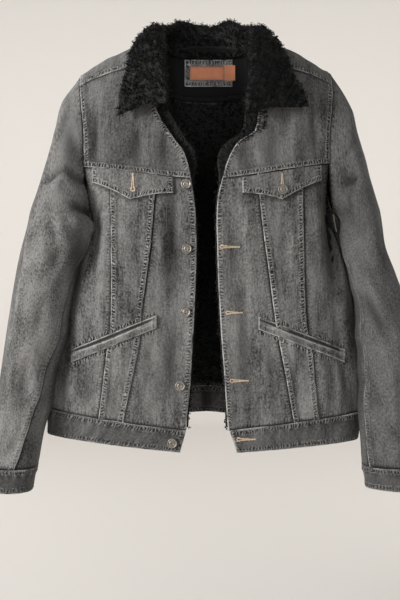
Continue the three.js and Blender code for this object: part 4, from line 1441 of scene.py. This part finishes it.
def sew_back_lining():
    """The back lining, evenly fine, because most of it shows through the opening."""
    step = 4.2
    spots = panel_spots(
        left=lining_side(-1), right=lining_side(1), top=lambda x, turn: -drop_at(x, lining_top(x)),
        bottom=level_drop("band_top", LINING_LOW, -1),
        s=graded(500, coarse=step, fine=step), t=graded(560, coarse=step, fine=step),
    )
    sew_lining("lining_back", spots, 27, 9.0)


def inside_back(name, box, lift, seed, step=3.0):
    """Cloth on the inside of the back neck, in a box of x from and to, and low and high by x."""
    x0, x1, low, high = box
    spots = panel_spots(
        left=lambda z: turn_at(x0, z), right=lambda z: turn_at(x1, z),
        top=lambda x, turn: -drop_at(x, high(x)), bottom=lambda x, turn: -drop_at(x, low(x)),
        s=graded(x1 - x0, coarse=step, fine=step), t=graded(NECK_GRID, coarse=step, fine=step),
    )
    cloth = inward_cloth(name, spots, lift, seed)
    cloth.slack(0.35, 24, 1.0)
    return cloth


def sew_facing():
    """The smooth facing inside the back neck."""
    box = (-FACING_HALF, FACING_HALF, facing_bottom, lambda x: 6 - 16 * (x / FACING_HALF) ** 2)
    facing = inside_back("neck_facing", box, FACING_IN, 28)
    finish_cloth(facing.make(2.0), facing, facing_cloth)


def tube(name, path, radius, sides=14, ripple=0.0):
    """A closed round tube along a path of points, its radius uneven by ripple."""
    path = np.asarray(path, float)
    ahead = unit(np.gradient(path, axis=0))
    side = unit(np.cross(ahead, np.array([0.0, 0.0, 1.0])))
    over = np.cross(side, ahead)
    angle = np.linspace(0, 2 * np.pi, sides, endpoint=False)
    walked = run_lengths(path[None], 1)[0]
    grow = radius + ripple * noise(walked[:, None] / 6 + angle[None] * 0.4, 0.0)
    ends = np.ones(len(path))
    ends[[0, -1]], ends[[1, -2]] = 0.35, 0.85
    ring = side[:, None] * np.cos(angle)[None, :, None] + over[:, None] * np.sin(angle)[None, :, None]
    rings = path[:, None] + ring * (grow * ends[:, None])[..., None]
    uv = np.stack([np.repeat(walked, sides), np.tile(angle * radius, len(path))], -1)
    uv = np.concatenate([uv, [[0, 0], [walked[-1], 0]]])
    return mesh_object(name, *capped(rings, path[0], path[-1]), uv)


def sew_piping():
    """The cord along the facing's lower edge."""
    x = np.linspace(-FACING_HALF, FACING_HALF, 80)
    z = facing_bottom(x) - PIPING / 2 - 1
    path = body_at(turn_at(x, z), -drop_at(x, z), FACING_OUT - 2)
    piping = tube("facing_piping_cord", path, PIPING / 2, ripple=0.3)
    place_piece(piping, "facing_piping", facing_cloth)


LABELS = [  # node, x from and to, z low and high, lift, wall, material, slot
    ("label_patch", -39.5, 46, -62, -15, FACING_IN - 0.9, 1.1, patch_denim, "denim"),
    ("label", -30, 30.6, -50, -26.5, FACING_IN - 3, 0.8, label_weave, "woven_label"),
    ("size_tab", 31.6, 51, -51, -24, FACING_IN - 3, 0.8, label_weave, "woven_label"),
]


def sew_label(number, node, x0, x1, low, high, lift, wall, material, slot):
    """A bare patch, label or tab on the facing."""
    cloth = inside_back(node, (x0, x1, lambda x: low, lambda x: high), lift, 29 + number, 1.6)
    if node == "label_patch":
        for edge_side in cloth.away:
            cloth.edge(edge_side, "hem")
    else:
        rim = np.minimum.reduce(list(cloth.away.values()))
        cloth.rise -= 0.25 * np.exp(-(((rim - 1.6) / 0.7) ** 2))
    finish_cloth(cloth.make(wall), cloth, material)
    if node != "size_tab":
        for edge_side in cloth.away:
            seam_rows.append(cloth.row_at(edge_side, 1.6, 0.8, 0.15))


for number, (side, sign) in enumerate(SIDES.items()):
    sew_front_lining(number, side, sign)
sew_back_lining()
sew_facing()
sew_piping()
for number, label in enumerate(LABELS):
    sew_label(number, *label)


# ---- collar ----------------------------------------------------------------------------------
def spline(points, t):
    """Catmull-Rom through points (first axis) at places from 0 to 1."""
    points = np.asarray(points, float)
    last = len(points) - 1
    place = np.clip(t, 0, 1) * last
    k = np.clip(np.floor(place).astype(int), 0, last - 1)
    f = (place - k).reshape(-1, *([1] * (points.ndim - 1)))
    before = points[np.maximum(k - 1, 0)]
    before = np.where((k == 0).reshape(f.shape), 2 * points[0] - points[1], before)
    beyond = points[np.minimum(k + 2, last)]
    beyond = np.where((k == last - 1).reshape(f.shape), 2 * points[last] - points[last - 1], beyond)
    a, b, c, d = before, points[k], points[k + 1], beyond
    return b + 0.5 * f * (c - a + f * (2 * a - 5 * b + 4 * c - d + f * (3 * (b - c) + d - a)))


def collar_stations(overhang=0.0):
    """The collar's sections; overhang takes the foot down inside the back of the neck."""
    stations = []
    for (foot_x, foot_drop), crest, edge in COLLAR:
        inside = overhang * smooth((0.2 - foot_drop) / 0.3)
        foot = body_at(turn_at(foot_x, height_at(foot_x, foot_drop)), foot_drop - 0.012 * inside,
                       FOOT_LIFT - inside)
        crest, edge = np.array(crest, float), np.array(edge, float)
        outward = unit(np.array([edge[0] - crest[0], edge[1] - crest[1], 0.0]))
        stand = lerp(foot, crest, 0.55) - outward
        shoulder = lerp(crest, edge, 0.3) + outward * 4 + (0, 0, 7)
        fall = lerp(crest, edge, 0.68) + outward * 3 + (0, 0, 3)
        stations.append([foot, stand, crest, shoulder, fall, edge])
    return np.array(stations)


def collar_cloth(name, u, v, seed, overhang=0.0):
    sections = spline(np.swapaxes(collar_stations(overhang), 0, 1), v)  # v, stations, xyz
    points = spline(np.swapaxes(sections, 0, 1), u)  # u, v, xyz
    onward = np.gradient(points, axis=0)
    over = np.gradient(points, axis=1)
    return Cloth(name, points, unit(np.cross(onward, over)), seed)


def sew_collar():
    """The sherpa upper collar, thin at its rims, and the denim under-collar."""
    collar = collar_cloth("collar_sherpa", np.linspace(0, 1, 200), np.linspace(0, 1, 62), 33, 14.0)
    rim = np.minimum.reduce([collar.away["top"], collar.away["bottom"], collar.away["right"]])
    collar.rise += 6.0 * (0.4 + 0.6 * smooth(rim / 9)) + pile_bumps(collar, 4.2, 10.0) - COLLAR_GAP
    collar.base = collar.base + collar.out * COLLAR_GAP
    finish_cloth(collar.make(0.0), collar, pile)
    cloths["collar_sherpa"] = collar

    under = collar_cloth("collar_under", np.linspace(0.012, 0.988, 150), np.linspace(0, 0.95, 46), 34)
    for edge_side in ("top", "bottom", "right"):
        under.edge(edge_side, "hem")
    under.rise = np.minimum(under.rise, 0.4)
    finish_cloth(under.make(DENIM), under, denim)


sew_collar()


# ---- geometry nodes --------------------------------------------------------------------------
def spindle(name, length, radius, sides=4):
    """One stitch: a short thread, thicker in the middle, lying along X."""
    angle = np.linspace(0, 2 * np.pi, sides, endpoint=False)
    round_ring = np.stack([np.zeros(sides), radius * np.cos(angle), radius * np.sin(angle)], -1)
    rings = np.stack([round_ring + (place * length, 0, 0) for place in (-0.3, 0.3)])
    tips = [(place * length, 0, -radius * 0.6) for place in (-0.5, 0.5)]
    return mesh_object(name, *capped(rings, *tips))


class Builder:
    """A Geometry Nodes tree with named inputs, run once and made a plain mesh."""

    def __init__(self, name, inputs):
        self.tree = bpy.data.node_groups.new(name, "GeometryNodeTree")
        face = self.tree.interface
        face.new_socket("Geometry", in_out="INPUT", socket_type="NodeSocketGeometry")
        self.names = {}
        for key, kind in inputs.items():
            item = face.new_socket(key, in_out="INPUT", socket_type=kind)
            self.names[key] = item.identifier
        face.new_socket("Geometry", in_out="OUTPUT", socket_type="NodeSocketGeometry")
        self.inputs = self.tree.nodes.new("NodeGroupInput")
        self.output = self.tree.nodes.new("NodeGroupOutput")

    def node(self, kind, settings=None, values=None):
        node = self.tree.nodes.new(kind)
        for key, value in (settings or {}).items():
            setattr(node, key, value)
        for key, value in (values or {}).items():
            if isinstance(value, bpy.types.NodeSocket):
                self.tree.links.new(value, node.inputs[key])
            else:
                node.inputs[key].default_value = value
        return node

    def finish(self, geometry):
        real = self.node("GeometryNodeRealizeInstances", None, {"Geometry": geometry})
        final = self.node("GeometryNodeSetMaterial", None,
                          {"Geometry": real.outputs[0], "Material": self.inputs.outputs["Material"]})
        self.tree.links.new(final.outputs[0], self.output.inputs[0])

    def run(self, source, name, values):
        """Runs the tree on an object and returns the result as a plain mesh object."""
        modifier = source.modifiers.new(name, "NODES")
        modifier.node_group = self.tree
        for key, value in values.items():
            modifier[self.names[key]] = value
        graph = bpy.context.evaluated_depsgraph_get()
        graph.update()
        mesh = bpy.data.meshes.new_from_object(source.evaluated_get(graph), depsgraph=graph)
        source.modifiers.remove(modifier)
        mesh.name = name
        made = bpy.data.objects.new(name, mesh)
        bpy.context.scene.collection.objects.link(made)
        return made


def path_builder():
    """Threads set one after another along every path."""
    b = Builder("sew along paths", {"Thread": "NodeSocketObject", "Pitch": "NodeSocketFloat",
                                    "Material": "NodeSocketMaterial", "Seed": "NodeSocketInt"})
    curve = b.node("GeometryNodeMeshToCurve", None, {"Mesh": b.inputs.outputs["Geometry"]})
    points = b.node("GeometryNodeCurveToPoints", {"mode": "LENGTH"},
                    {"Curve": curve.outputs[0], "Length": b.inputs.outputs["Pitch"]})
    thread = b.node("GeometryNodeObjectInfo", None, {"Object": b.inputs.outputs["Thread"]})
    turn = b.node("FunctionNodeAlignRotationToVector", {"axis": "X"}, {"Vector": points.outputs["Tangent"]})
    size = b.node("FunctionNodeRandomValue", {"data_type": "FLOAT"},
                  {2: 0.8, 3: 1.12, "Seed": b.inputs.outputs["Seed"]})
    laid = b.node("GeometryNodeInstanceOnPoints", None, {
        "Points": points.outputs["Points"], "Instance": thread.outputs["Geometry"],
        "Rotation": turn.outputs[0], "Scale": size.outputs[1]})
    b.finish(laid.outputs[0])
    return b


def scatter_builder():
    """Tufts spread over every face, standing out of it at a slant."""
    b = Builder("scatter tufts", {"Tuft": "NodeSocketObject", "Spacing": "NodeSocketFloat",
                                  "Density": "NodeSocketFloat", "Slant": "NodeSocketFloat",
                                  "Material": "NodeSocketMaterial", "Seed": "NodeSocketInt"})
    inputs = b.inputs.outputs
    points = b.node("GeometryNodeDistributePointsOnFaces", {"distribute_method": "POISSON"}, {
        "Mesh": inputs["Geometry"], "Distance Min": inputs["Spacing"],
        "Density Max": inputs["Density"], "Seed": inputs["Seed"]})
    tuft = b.node("GeometryNodeObjectInfo", None, {"Object": inputs["Tuft"]})
    low = b.node("ShaderNodeMath", {"operation": "MULTIPLY"}, {0: inputs["Slant"], 1: -1.0})
    lows = b.node("ShaderNodeCombineXYZ", None, {"X": low.outputs[0], "Y": low.outputs[0], "Z": -3.14})
    highs = b.node("ShaderNodeCombineXYZ", None, {"X": inputs["Slant"], "Y": inputs["Slant"], "Z": 3.14})
    lean = b.node("FunctionNodeRandomValue", {"data_type": "FLOAT_VECTOR"},
                  {0: lows.outputs[0], 1: highs.outputs[0], "Seed": inputs["Seed"]})
    as_turn = b.node("FunctionNodeEulerToRotation", None, {"Euler": lean.outputs[0]})
    turn = b.node("FunctionNodeRotateRotation", {"rotation_space": "LOCAL"},
                  {"Rotation": points.outputs["Rotation"], "Rotate By": as_turn.outputs[0]})
    size = b.node("FunctionNodeRandomValue", {"data_type": "FLOAT"},
                  {2: 0.65, 3: 1.25, "Seed": inputs["Seed"]})
    laid = b.node("GeometryNodeInstanceOnPoints", None, {
        "Points": points.outputs["Points"], "Instance": tuft.outputs["Geometry"],
        "Rotation": turn.outputs[0], "Scale": size.outputs[1]})
    b.finish(laid.outputs[0])
    return b


def path_object(name, paths):
    """Every path as loose edges of one mesh, in metres."""
    mesh = bpy.data.meshes.new(name)
    points = np.concatenate(paths) * MM
    edges, start = [], 0
    for path in paths:
        edges += [(start + i, start + i + 1) for i in range(len(path) - 1)]
        start += len(path)
    mesh.from_pydata(points.tolist(), edges, [])
    obj = bpy.data.objects.new(name, mesh)
    bpy.context.scene.collection.objects.link(obj)
    return obj


def drop_object(*objects):
    """Removes shapes that were only needed to make others."""
    for obj in objects:
        bpy.data.objects.remove(obj, do_unlink=True)


sew = path_builder()
scatter = scatter_builder()


def sew_paths(name, paths, thread, pitch, material, seed):
    """Lays a thread along every path, one to each pitch, as one piece."""
    source = path_object(name + " path", [path for path in paths if len(path) > 1])
    made = sew.run(source, name, {"Thread": thread, "Pitch": pitch * MM, "Material": material, "Seed": seed})
    drop_object(source)
    place_piece(made)


def surface_tree(names):
    """The named cloths' surfaces, to drop points on."""
    points, faces, start = [], [], 0
    for name in names:
        cloth = cloths[name]
        p = cloth.surface().reshape(-1, 3)
        faces.append(grid_quads(*cloth.rise.shape) + start)
        points.append(p)
        start += len(p)
    return BVHTree.FromPolygons(np.concatenate(points).tolist(), np.concatenate(faces).tolist())


FRONT_PARTS = ("yoke", "centre", "strip", "side")
front_tree = surface_tree([f"front_{part}_{side}" for side in SIDES for part in FRONT_PARTS])
band_tree = surface_tree(["waistband_left", "waistband_right"])
flap_trees = {side: surface_tree([f"pocket_flap_{side}"]) for side in SIDES}


def on_surface(tree, x, z, lift=0.25):
    """The point of the surface straight behind (x, z), or None where there is no cloth."""
    hit = tree.ray_cast((x, MID - 200.0, z), (0, 1, 0))[0]
    return None if hit is None else np.array(hit) - np.array([0, lift, 0])


def front_line(corners):
    """A line through (x, z) corners laid on the fronts."""
    corners = np.array(corners, float)
    walked = np.concatenate([[0], np.cumsum(np.linalg.norm(np.diff(corners, axis=0), axis=1))])
    places = np.arange(0, walked[-1], 3.0)
    xs, zs = (np.interp(places, walked, corners[:, k]) for k in range(2))
    found = [on_surface(front_tree, x, z) for x, z in zip(xs, zs)]
    return np.array([p for p in found if p is not None])


# The pocket bags' faint V, sewn through each front, and the short upright rows over its ends.
POCKET_BAG = [(190, -318), (161, -349), (134, -360), (110, -353), (82, -342), (67, -330)]
BAG_TOP = -285
bag_rows = [front_line([(sign * x, z) for x, z in POCKET_BAG]) for sign in SIDES.values()]
bag_rows += [
    front_line([(sign * x, BAG_TOP), (sign * x, -330)]) for sign in SIDES.values() for x in (67, 190)
]

stitch = spindle("stitch", 2.5, 0.45)
sew_paths("seam_stitches", seam_rows, stitch, 3.1, tonal_thread, 4)
bag_stitch = spindle("bag stitch", 3.0, 0.7)
sew_paths("pocket_bag_stitches", bag_rows, bag_stitch, 3.6, faded_thread, 6)


# ---- buttonholes -----------------------------------------------------------------------------
BUTTONHOLES = [  # x of the eye, x of the far end, z
    (23, 46, -255), (23, 54, -355), (33, 59, -464), (40, 69, -577), (51, 81, -674),
]
FLAP_HOLE_IN = {"left": 4, "right": 0}  # how far in from the flap's point its hole is
BAR_PITCH = 0.62
BAR_REACH = 2.1  # how far a bar of thread stands out from the slit
ONE_EACH = 50.0  # a pitch longer than any bar, so that each holds one thread


def keyhole(eye, end, tree, eye_radius=3.7, tail=1.0):
    """Points round a slit that widens to a round eye, laid on the cloth, or None off its edge."""
    eye, end = np.array(eye, float), np.array(end, float)
    length = np.linalg.norm(end - eye)
    ahead = (end - eye) / length
    side = np.array([-ahead[1], ahead[0]])
    turns = np.linspace(np.radians(50), np.radians(310), 20)
    outline = [eye + eye_radius * (ahead * math.cos(a) + side * math.sin(a)) for a in turns]
    run = np.linspace(0.08, 1.0, 26)
    outline += [eye + ahead * length * t - side * lerp(eye_radius * 0.75, tail, t) for t in run]
    outline += [eye + ahead * length * t + side * lerp(eye_radius * 0.75, tail, t) for t in run[::-1]]
    points = [on_surface(tree, x, z, 0.45) for x, z in outline]
    if any(p is None for p in points):
        return None
    return np.array(points + [points[0]])


def buttonhole_bars(loop):
    """Short threads across the loop, from its slit outwards, each from its middle to its far end."""
    ahead = unit(np.gradient(loop, axis=0))
    across = unit(np.cross(ahead, np.array([0.0, 1.0, 0.0])))
    walked = run_lengths(loop[None], 1)[0]
    bars = []
    for place in np.arange(0, walked[-1], BAR_PITCH):
        here = np.array([np.interp(place, walked, loop[:, k]) for k in range(3)])
        way = np.array([np.interp(place, walked, across[:, k]) for k in range(3)])
        bars.append(np.array([here + way * (BAR_REACH - 0.3) / 2, here + way * BAR_REACH]))
    return bars


def buttonhole_loops():
    """The outline of every buttonhole that lies whole on the cloth: front, band and flaps."""
    loops = []
    for eye_x, end_x, z in BUTTONHOLES:
        tree = band_tree if z < -660 else front_tree
        loops.append(keyhole((eye_x + 1, z), (end_x, z), tree))
    for side, sign in SIDES.items():
        x = sign * (FLAPS[side]["point"][0] - FLAP_HOLE_IN[side])
        loops.append(keyhole((x, -260), (x, -233), flap_trees[side], 4.2, 1.2))
    return [loop for loop in loops if loop is not None]


bar_thread = spindle("buttonhole thread", 3.0, 0.42)
loops = buttonhole_loops()
bars = [bar for loop in loops for bar in buttonhole_bars(loop)]
sew_paths("buttonhole_threads", bars, bar_thread, ONE_EACH, copper_thread, 5)
for number, loop in enumerate(loops):
    slit = tube(f"buttonhole_slit_{number + 1}", loop[:-1], 0.32, sides=6)
    place_piece(slit, material=pile)


# ---- buttons ---------------------------------------------------------------------------------
FRONT_BUTTONS = [(-34.7, -252), (-33.7, -358.5), (-35.8, -463), (-44.6, -585), (-57.8, -680)]
FLAP_BUTTON = (124, -260)
BUTTON_PROFILE = [  # radius, height: shank, rolled rim, dished face with a raised middle
    (0, 0.0), (3.0, 0.0), (3.2, 1.6), (5.0, 2.0), (7.4, 2.1), (8.2, 2.5), (8.5, 3.1), (8.25, 3.8),
    (7.6, 4.3), (6.9, 4.35), (6.3, 4.0), (5.8, 3.65), (5.2, 3.6), (4.6, 3.75), (4.2, 4.15), (3.6, 4.4),
    (2.6, 4.35), (1.7, 4.05), (0.9, 3.9), (0, 3.88),
]


def make_button(name, x, z, lift):
    """A shank button turned round the way out of the cloth at (x, z)."""
    seat, out = body_frame(np.array(float(turn_at(x, z))), np.array(float(drop_at(x, z))))
    seat = seat + out * lift
    side = unit(np.cross(out, np.array([0.0, 0.0, 1.0])))
    over = np.cross(side, out)
    angle = np.linspace(0, 2 * np.pi, 40, endpoint=False)[:, None]
    around = side * np.cos(angle) + over * np.sin(angle)
    rings = np.stack([seat + out * height + radius * around for radius, height in BUTTON_PROFILE[1:-1]])
    top = seat + out * BUTTON_PROFILE[-1][1]
    place_piece(mesh_object(name + "_worn", *capped(rings, seat, top)), name, shank_metal)


for number, (x, z) in enumerate(FRONT_BUTTONS):
    make_button(f"button_{number + 1}", x, z, 1.2)
make_button("flap_button_right", *FLAP_BUTTON, 4.0)


# ---- curly pile ------------------------------------------------------------------------------
def strand(random, length, radius, curl_turns, spread, segments=4, sides=3):
    """The rings of one curled strand, from its root to its thin end."""
    lean = random.uniform(0, 2 * np.pi)
    reach = length * random.uniform(0.7, 1.15)
    phase = random.uniform(0, 2 * np.pi)
    curl_radius = length * random.uniform(0.2, 0.36)
    root = random.uniform(-spread, spread, 2)
    rings = []
    for t in np.linspace(0, 1, segments + 1):
        swing = phase + t * curl_turns * 2 * np.pi
        centre = np.array([
            root[0] + math.cos(lean) * reach * 0.5 * t + curl_radius * (math.cos(swing) - math.cos(phase)),
            root[1] + math.sin(lean) * reach * 0.5 * t + curl_radius * (math.sin(swing) - math.sin(phase)),
            reach * 0.85 * t - 1.0,
        ])
        corner = 2 * np.pi * np.arange(sides)[:, None] / sides + phase
        flat = np.concatenate([np.cos(corner), np.sin(corner), np.zeros_like(corner)], 1)
        rings.append(centre + radius * (1 - t * 0.8) * flat)
    return np.array(rings)


def tuft_object(name, strands, length, radius, curl_turns, spread, seed):
    """A few curled strands that rise from one root, three-sided and pointed."""
    random = np.random.default_rng(seed)
    points, faces, start = [], [], 0
    for _ in range(strands):
        rings = strand(random, length, radius, curl_turns, spread)
        rows, sides = rings.shape[:2]
        quads = grid_quads(rows, sides, loop=True) + start
        end = start + (rows - 1) * sides
        ends = [(start + 2, start + 1, start), (end, end + 1, end + 2)]
        faces.append(np.concatenate([quads[:, [0, 1, 2]], quads[:, [0, 2, 3]], ends]))
        points.append(rings.reshape(-1, 3))
        start += rows * sides
    return mesh_object(name, np.concatenate(points), np.concatenate(faces))


def open_face(cloth, keep=None):
    """A cloth's showing face alone, to scatter tufts on."""
    quads = grid_quads(*cloth.rise.shape)
    if keep is not None:
        quads = quads[keep[:-1, :-1].ravel()]
    p = cloth.surface().reshape(-1, 3)
    a, b, c = (p[quads[:, i]] for i in range(3))
    facing_out = np.einsum("ij,ij->i", np.cross(b - a, c - a), cloth.out.reshape(-1, 3)[quads[:, 0]]).sum()
    if facing_out < 0:
        quads = quads[:, ::-1]
    return mesh_object(cloth.name + " face", p, quads)


def grow_pile(name, cloth, tuft, spacing, slant, seed, keep=None):
    """Scatters tufts over a cloth's showing face, or where keep says."""
    face = open_face(cloth, keep)
    density = 1.4 / (spacing * MM) ** 2
    made = scatter.run(face, name, {"Tuft": tuft, "Spacing": spacing * MM, "Density": density,
                                    "Slant": slant, "Material": curl, "Seed": seed})
    drop_object(face)
    place_piece(made)


def grow_front_pile(number, side, long_tuft, short_tuft):
    """Curls along a front's open edge, and those that spill over its turned neck."""
    inward = toward(SIDES[side])[0]
    cloth = cloths[f"lining_front_{side}"]
    wide = 10 + 40 * smooth((cloth.base[..., 2] + 270) / 60)
    grow_pile(f"lining_curls_{side}", cloth, long_tuft, 4.4, 0.9, 24 + number, cloth.away[inward] < wide)
    yoke = cloths[f"front_yoke_{side}"]
    over = NECK_SPILL[side] * smooth((yoke.base[..., 2] + 195) / 45)
    near = (yoke.away[inward] < over) & (yoke.base[..., 2] < -95)
    grow_pile(f"neck_curls_{side}", yoke, short_tuft, 3.4, 0.9, 26 + number, near)


NECK_SPILL = {"left": 4, "right": 14}
SEEN_LINING = 120  # how far out from the middle the back lining shows through the open fronts
long_tuft = tuft_object("long tuft", 3, 7.2, 1.35, 1.25, 2.8, 11)
short_tuft = tuft_object("short tuft", 3, 5.6, 1.15, 1.15, 2.2, 12)
collar, lining = cloths["collar_sherpa"], cloths["lining_back"]
grow_pile("collar_curls_a", collar, long_tuft, 7.2, 0.9, 21)
grow_pile("collar_curls_b", collar, short_tuft, 6.8, 1.0, 22)
grow_pile("lining_curls_back", lining, short_tuft, 7.0, 0.8, 23, np.abs(lining.base[..., 0]) < SEEN_LINING)
for number, side in enumerate(SIDES):
    grow_front_pile(number, side, long_tuft, short_tuft)
drop_object(stitch, bag_stitch, bar_thread, long_tuft, short_tuft)


# ---- studio ----------------------------------------------------------------------------------
def paper_sweep():
    """A pale seamless floor that curves up into a wall."""
    steps = 24
    floor_z, wall_y, bend, half = -1250.0, 4600.0, 900.0, 9000.0
    profile = [(-6000.0, floor_z), (wall_y - bend, floor_z)]
    for k in range(1, steps + 1):
        a = k / steps * math.pi / 2
        profile.append((wall_y - bend + bend * math.sin(a), floor_z + bend - bend * math.cos(a)))
    profile.append((wall_y, 6000.0))
    points = [(x, y, z) for y, z in profile for x in (-half, half)]
    quads = [(2 * i, 2 * i + 1, 2 * i + 3, 2 * i + 2) for i in range(len(profile) - 1)]
    sweep = mesh_object("studio_sweep", points, quads)
    g = Graph("pale studio paper")
    paper = g.surface({"Base Color": (0.80, 0.772, 0.738, 1.0), "Roughness": 0.95, "Specular IOR Level": 0.1})
    sweep.data.materials.append(paper)


def stand(name, data, place, turn):
    """Puts a light or camera in the scene."""
    obj = bpy.data.objects.new(name, data)
    bpy.context.scene.collection.objects.link(obj)
    obj.location = place
    obj.rotation_euler = turn
    return obj


def lamp(name, place, aim, size, watts, colour):
    """A round soft light that faces a point."""
    light = bpy.data.lights.new(name, "AREA")
    light.shape = "DISK"
    light.size = size
    light.energy = watts
    light.color = colour
    way = np.array(place) - np.array(aim)
    tilt = math.atan2(math.hypot(way[0], way[1]), way[2])
    stand(name, light, place, (tilt, 0, math.atan2(way[0], -way[1])))


def light_room():
    """Even light from the whole room, a window on the left, and the wall behind washed pale."""
    world = bpy.data.worlds.new("soft room")
    world.use_nodes = True
    background = world.node_tree.nodes["Background"].inputs
    background["Color"].default_value = (1.0, 0.975, 0.94, 1.0)
    background["Strength"].default_value = 0.30
    bpy.context.scene.world = world
    heart, wall = (0.0, -0.04, -0.35), (0.0, 4.6, 0.4)
    lamp("window", (-2.25, -1.7, 0.15), heart, 1.0, 90, (1.0, 0.99, 0.975))
    lamp("fill", (2.0, -2.9, -0.1), heart, 2.4, 14, (0.97, 0.985, 1.0))
    lamp("wall wash left", (-2.6, 1.2, 0.8), wall, 2.4, 52, (1.0, 0.985, 0.965))
    lamp("wall wash right", (2.6, 1.2, 0.8), wall, 2.4, 52, (1.0, 0.985, 0.965))


def light_neck():
    """A narrow light into the neck, so that the label shows."""
    light = bpy.data.lights.new("neck snoot", "SPOT")
    light.energy = 80
    light.spot_size = math.radians(5.4)
    light.spot_blend = 1.0
    light.shadow_soft_size = 0.12
    stand("neck snoot", light, (-0.12, -1.7, 0.12), (math.radians(84.7), 0, math.radians(-4.2)))


def set_camera():
    """The camera, level and straight on, 1.4 m in front of the jacket."""
    camera = bpy.data.cameras.new("camera")
    camera.sensor_width = 36.0
    camera.lens = 48.7
    place = (-0.012, MID * MM - 1.40, -0.443)
    bpy.context.scene.camera = stand("camera", camera, place, (math.pi / 2, 0, 0))
    bpy.context.scene.view_settings.view_transform = "Standard"


paper_sweep()
light_room()
light_neck()
set_camera()
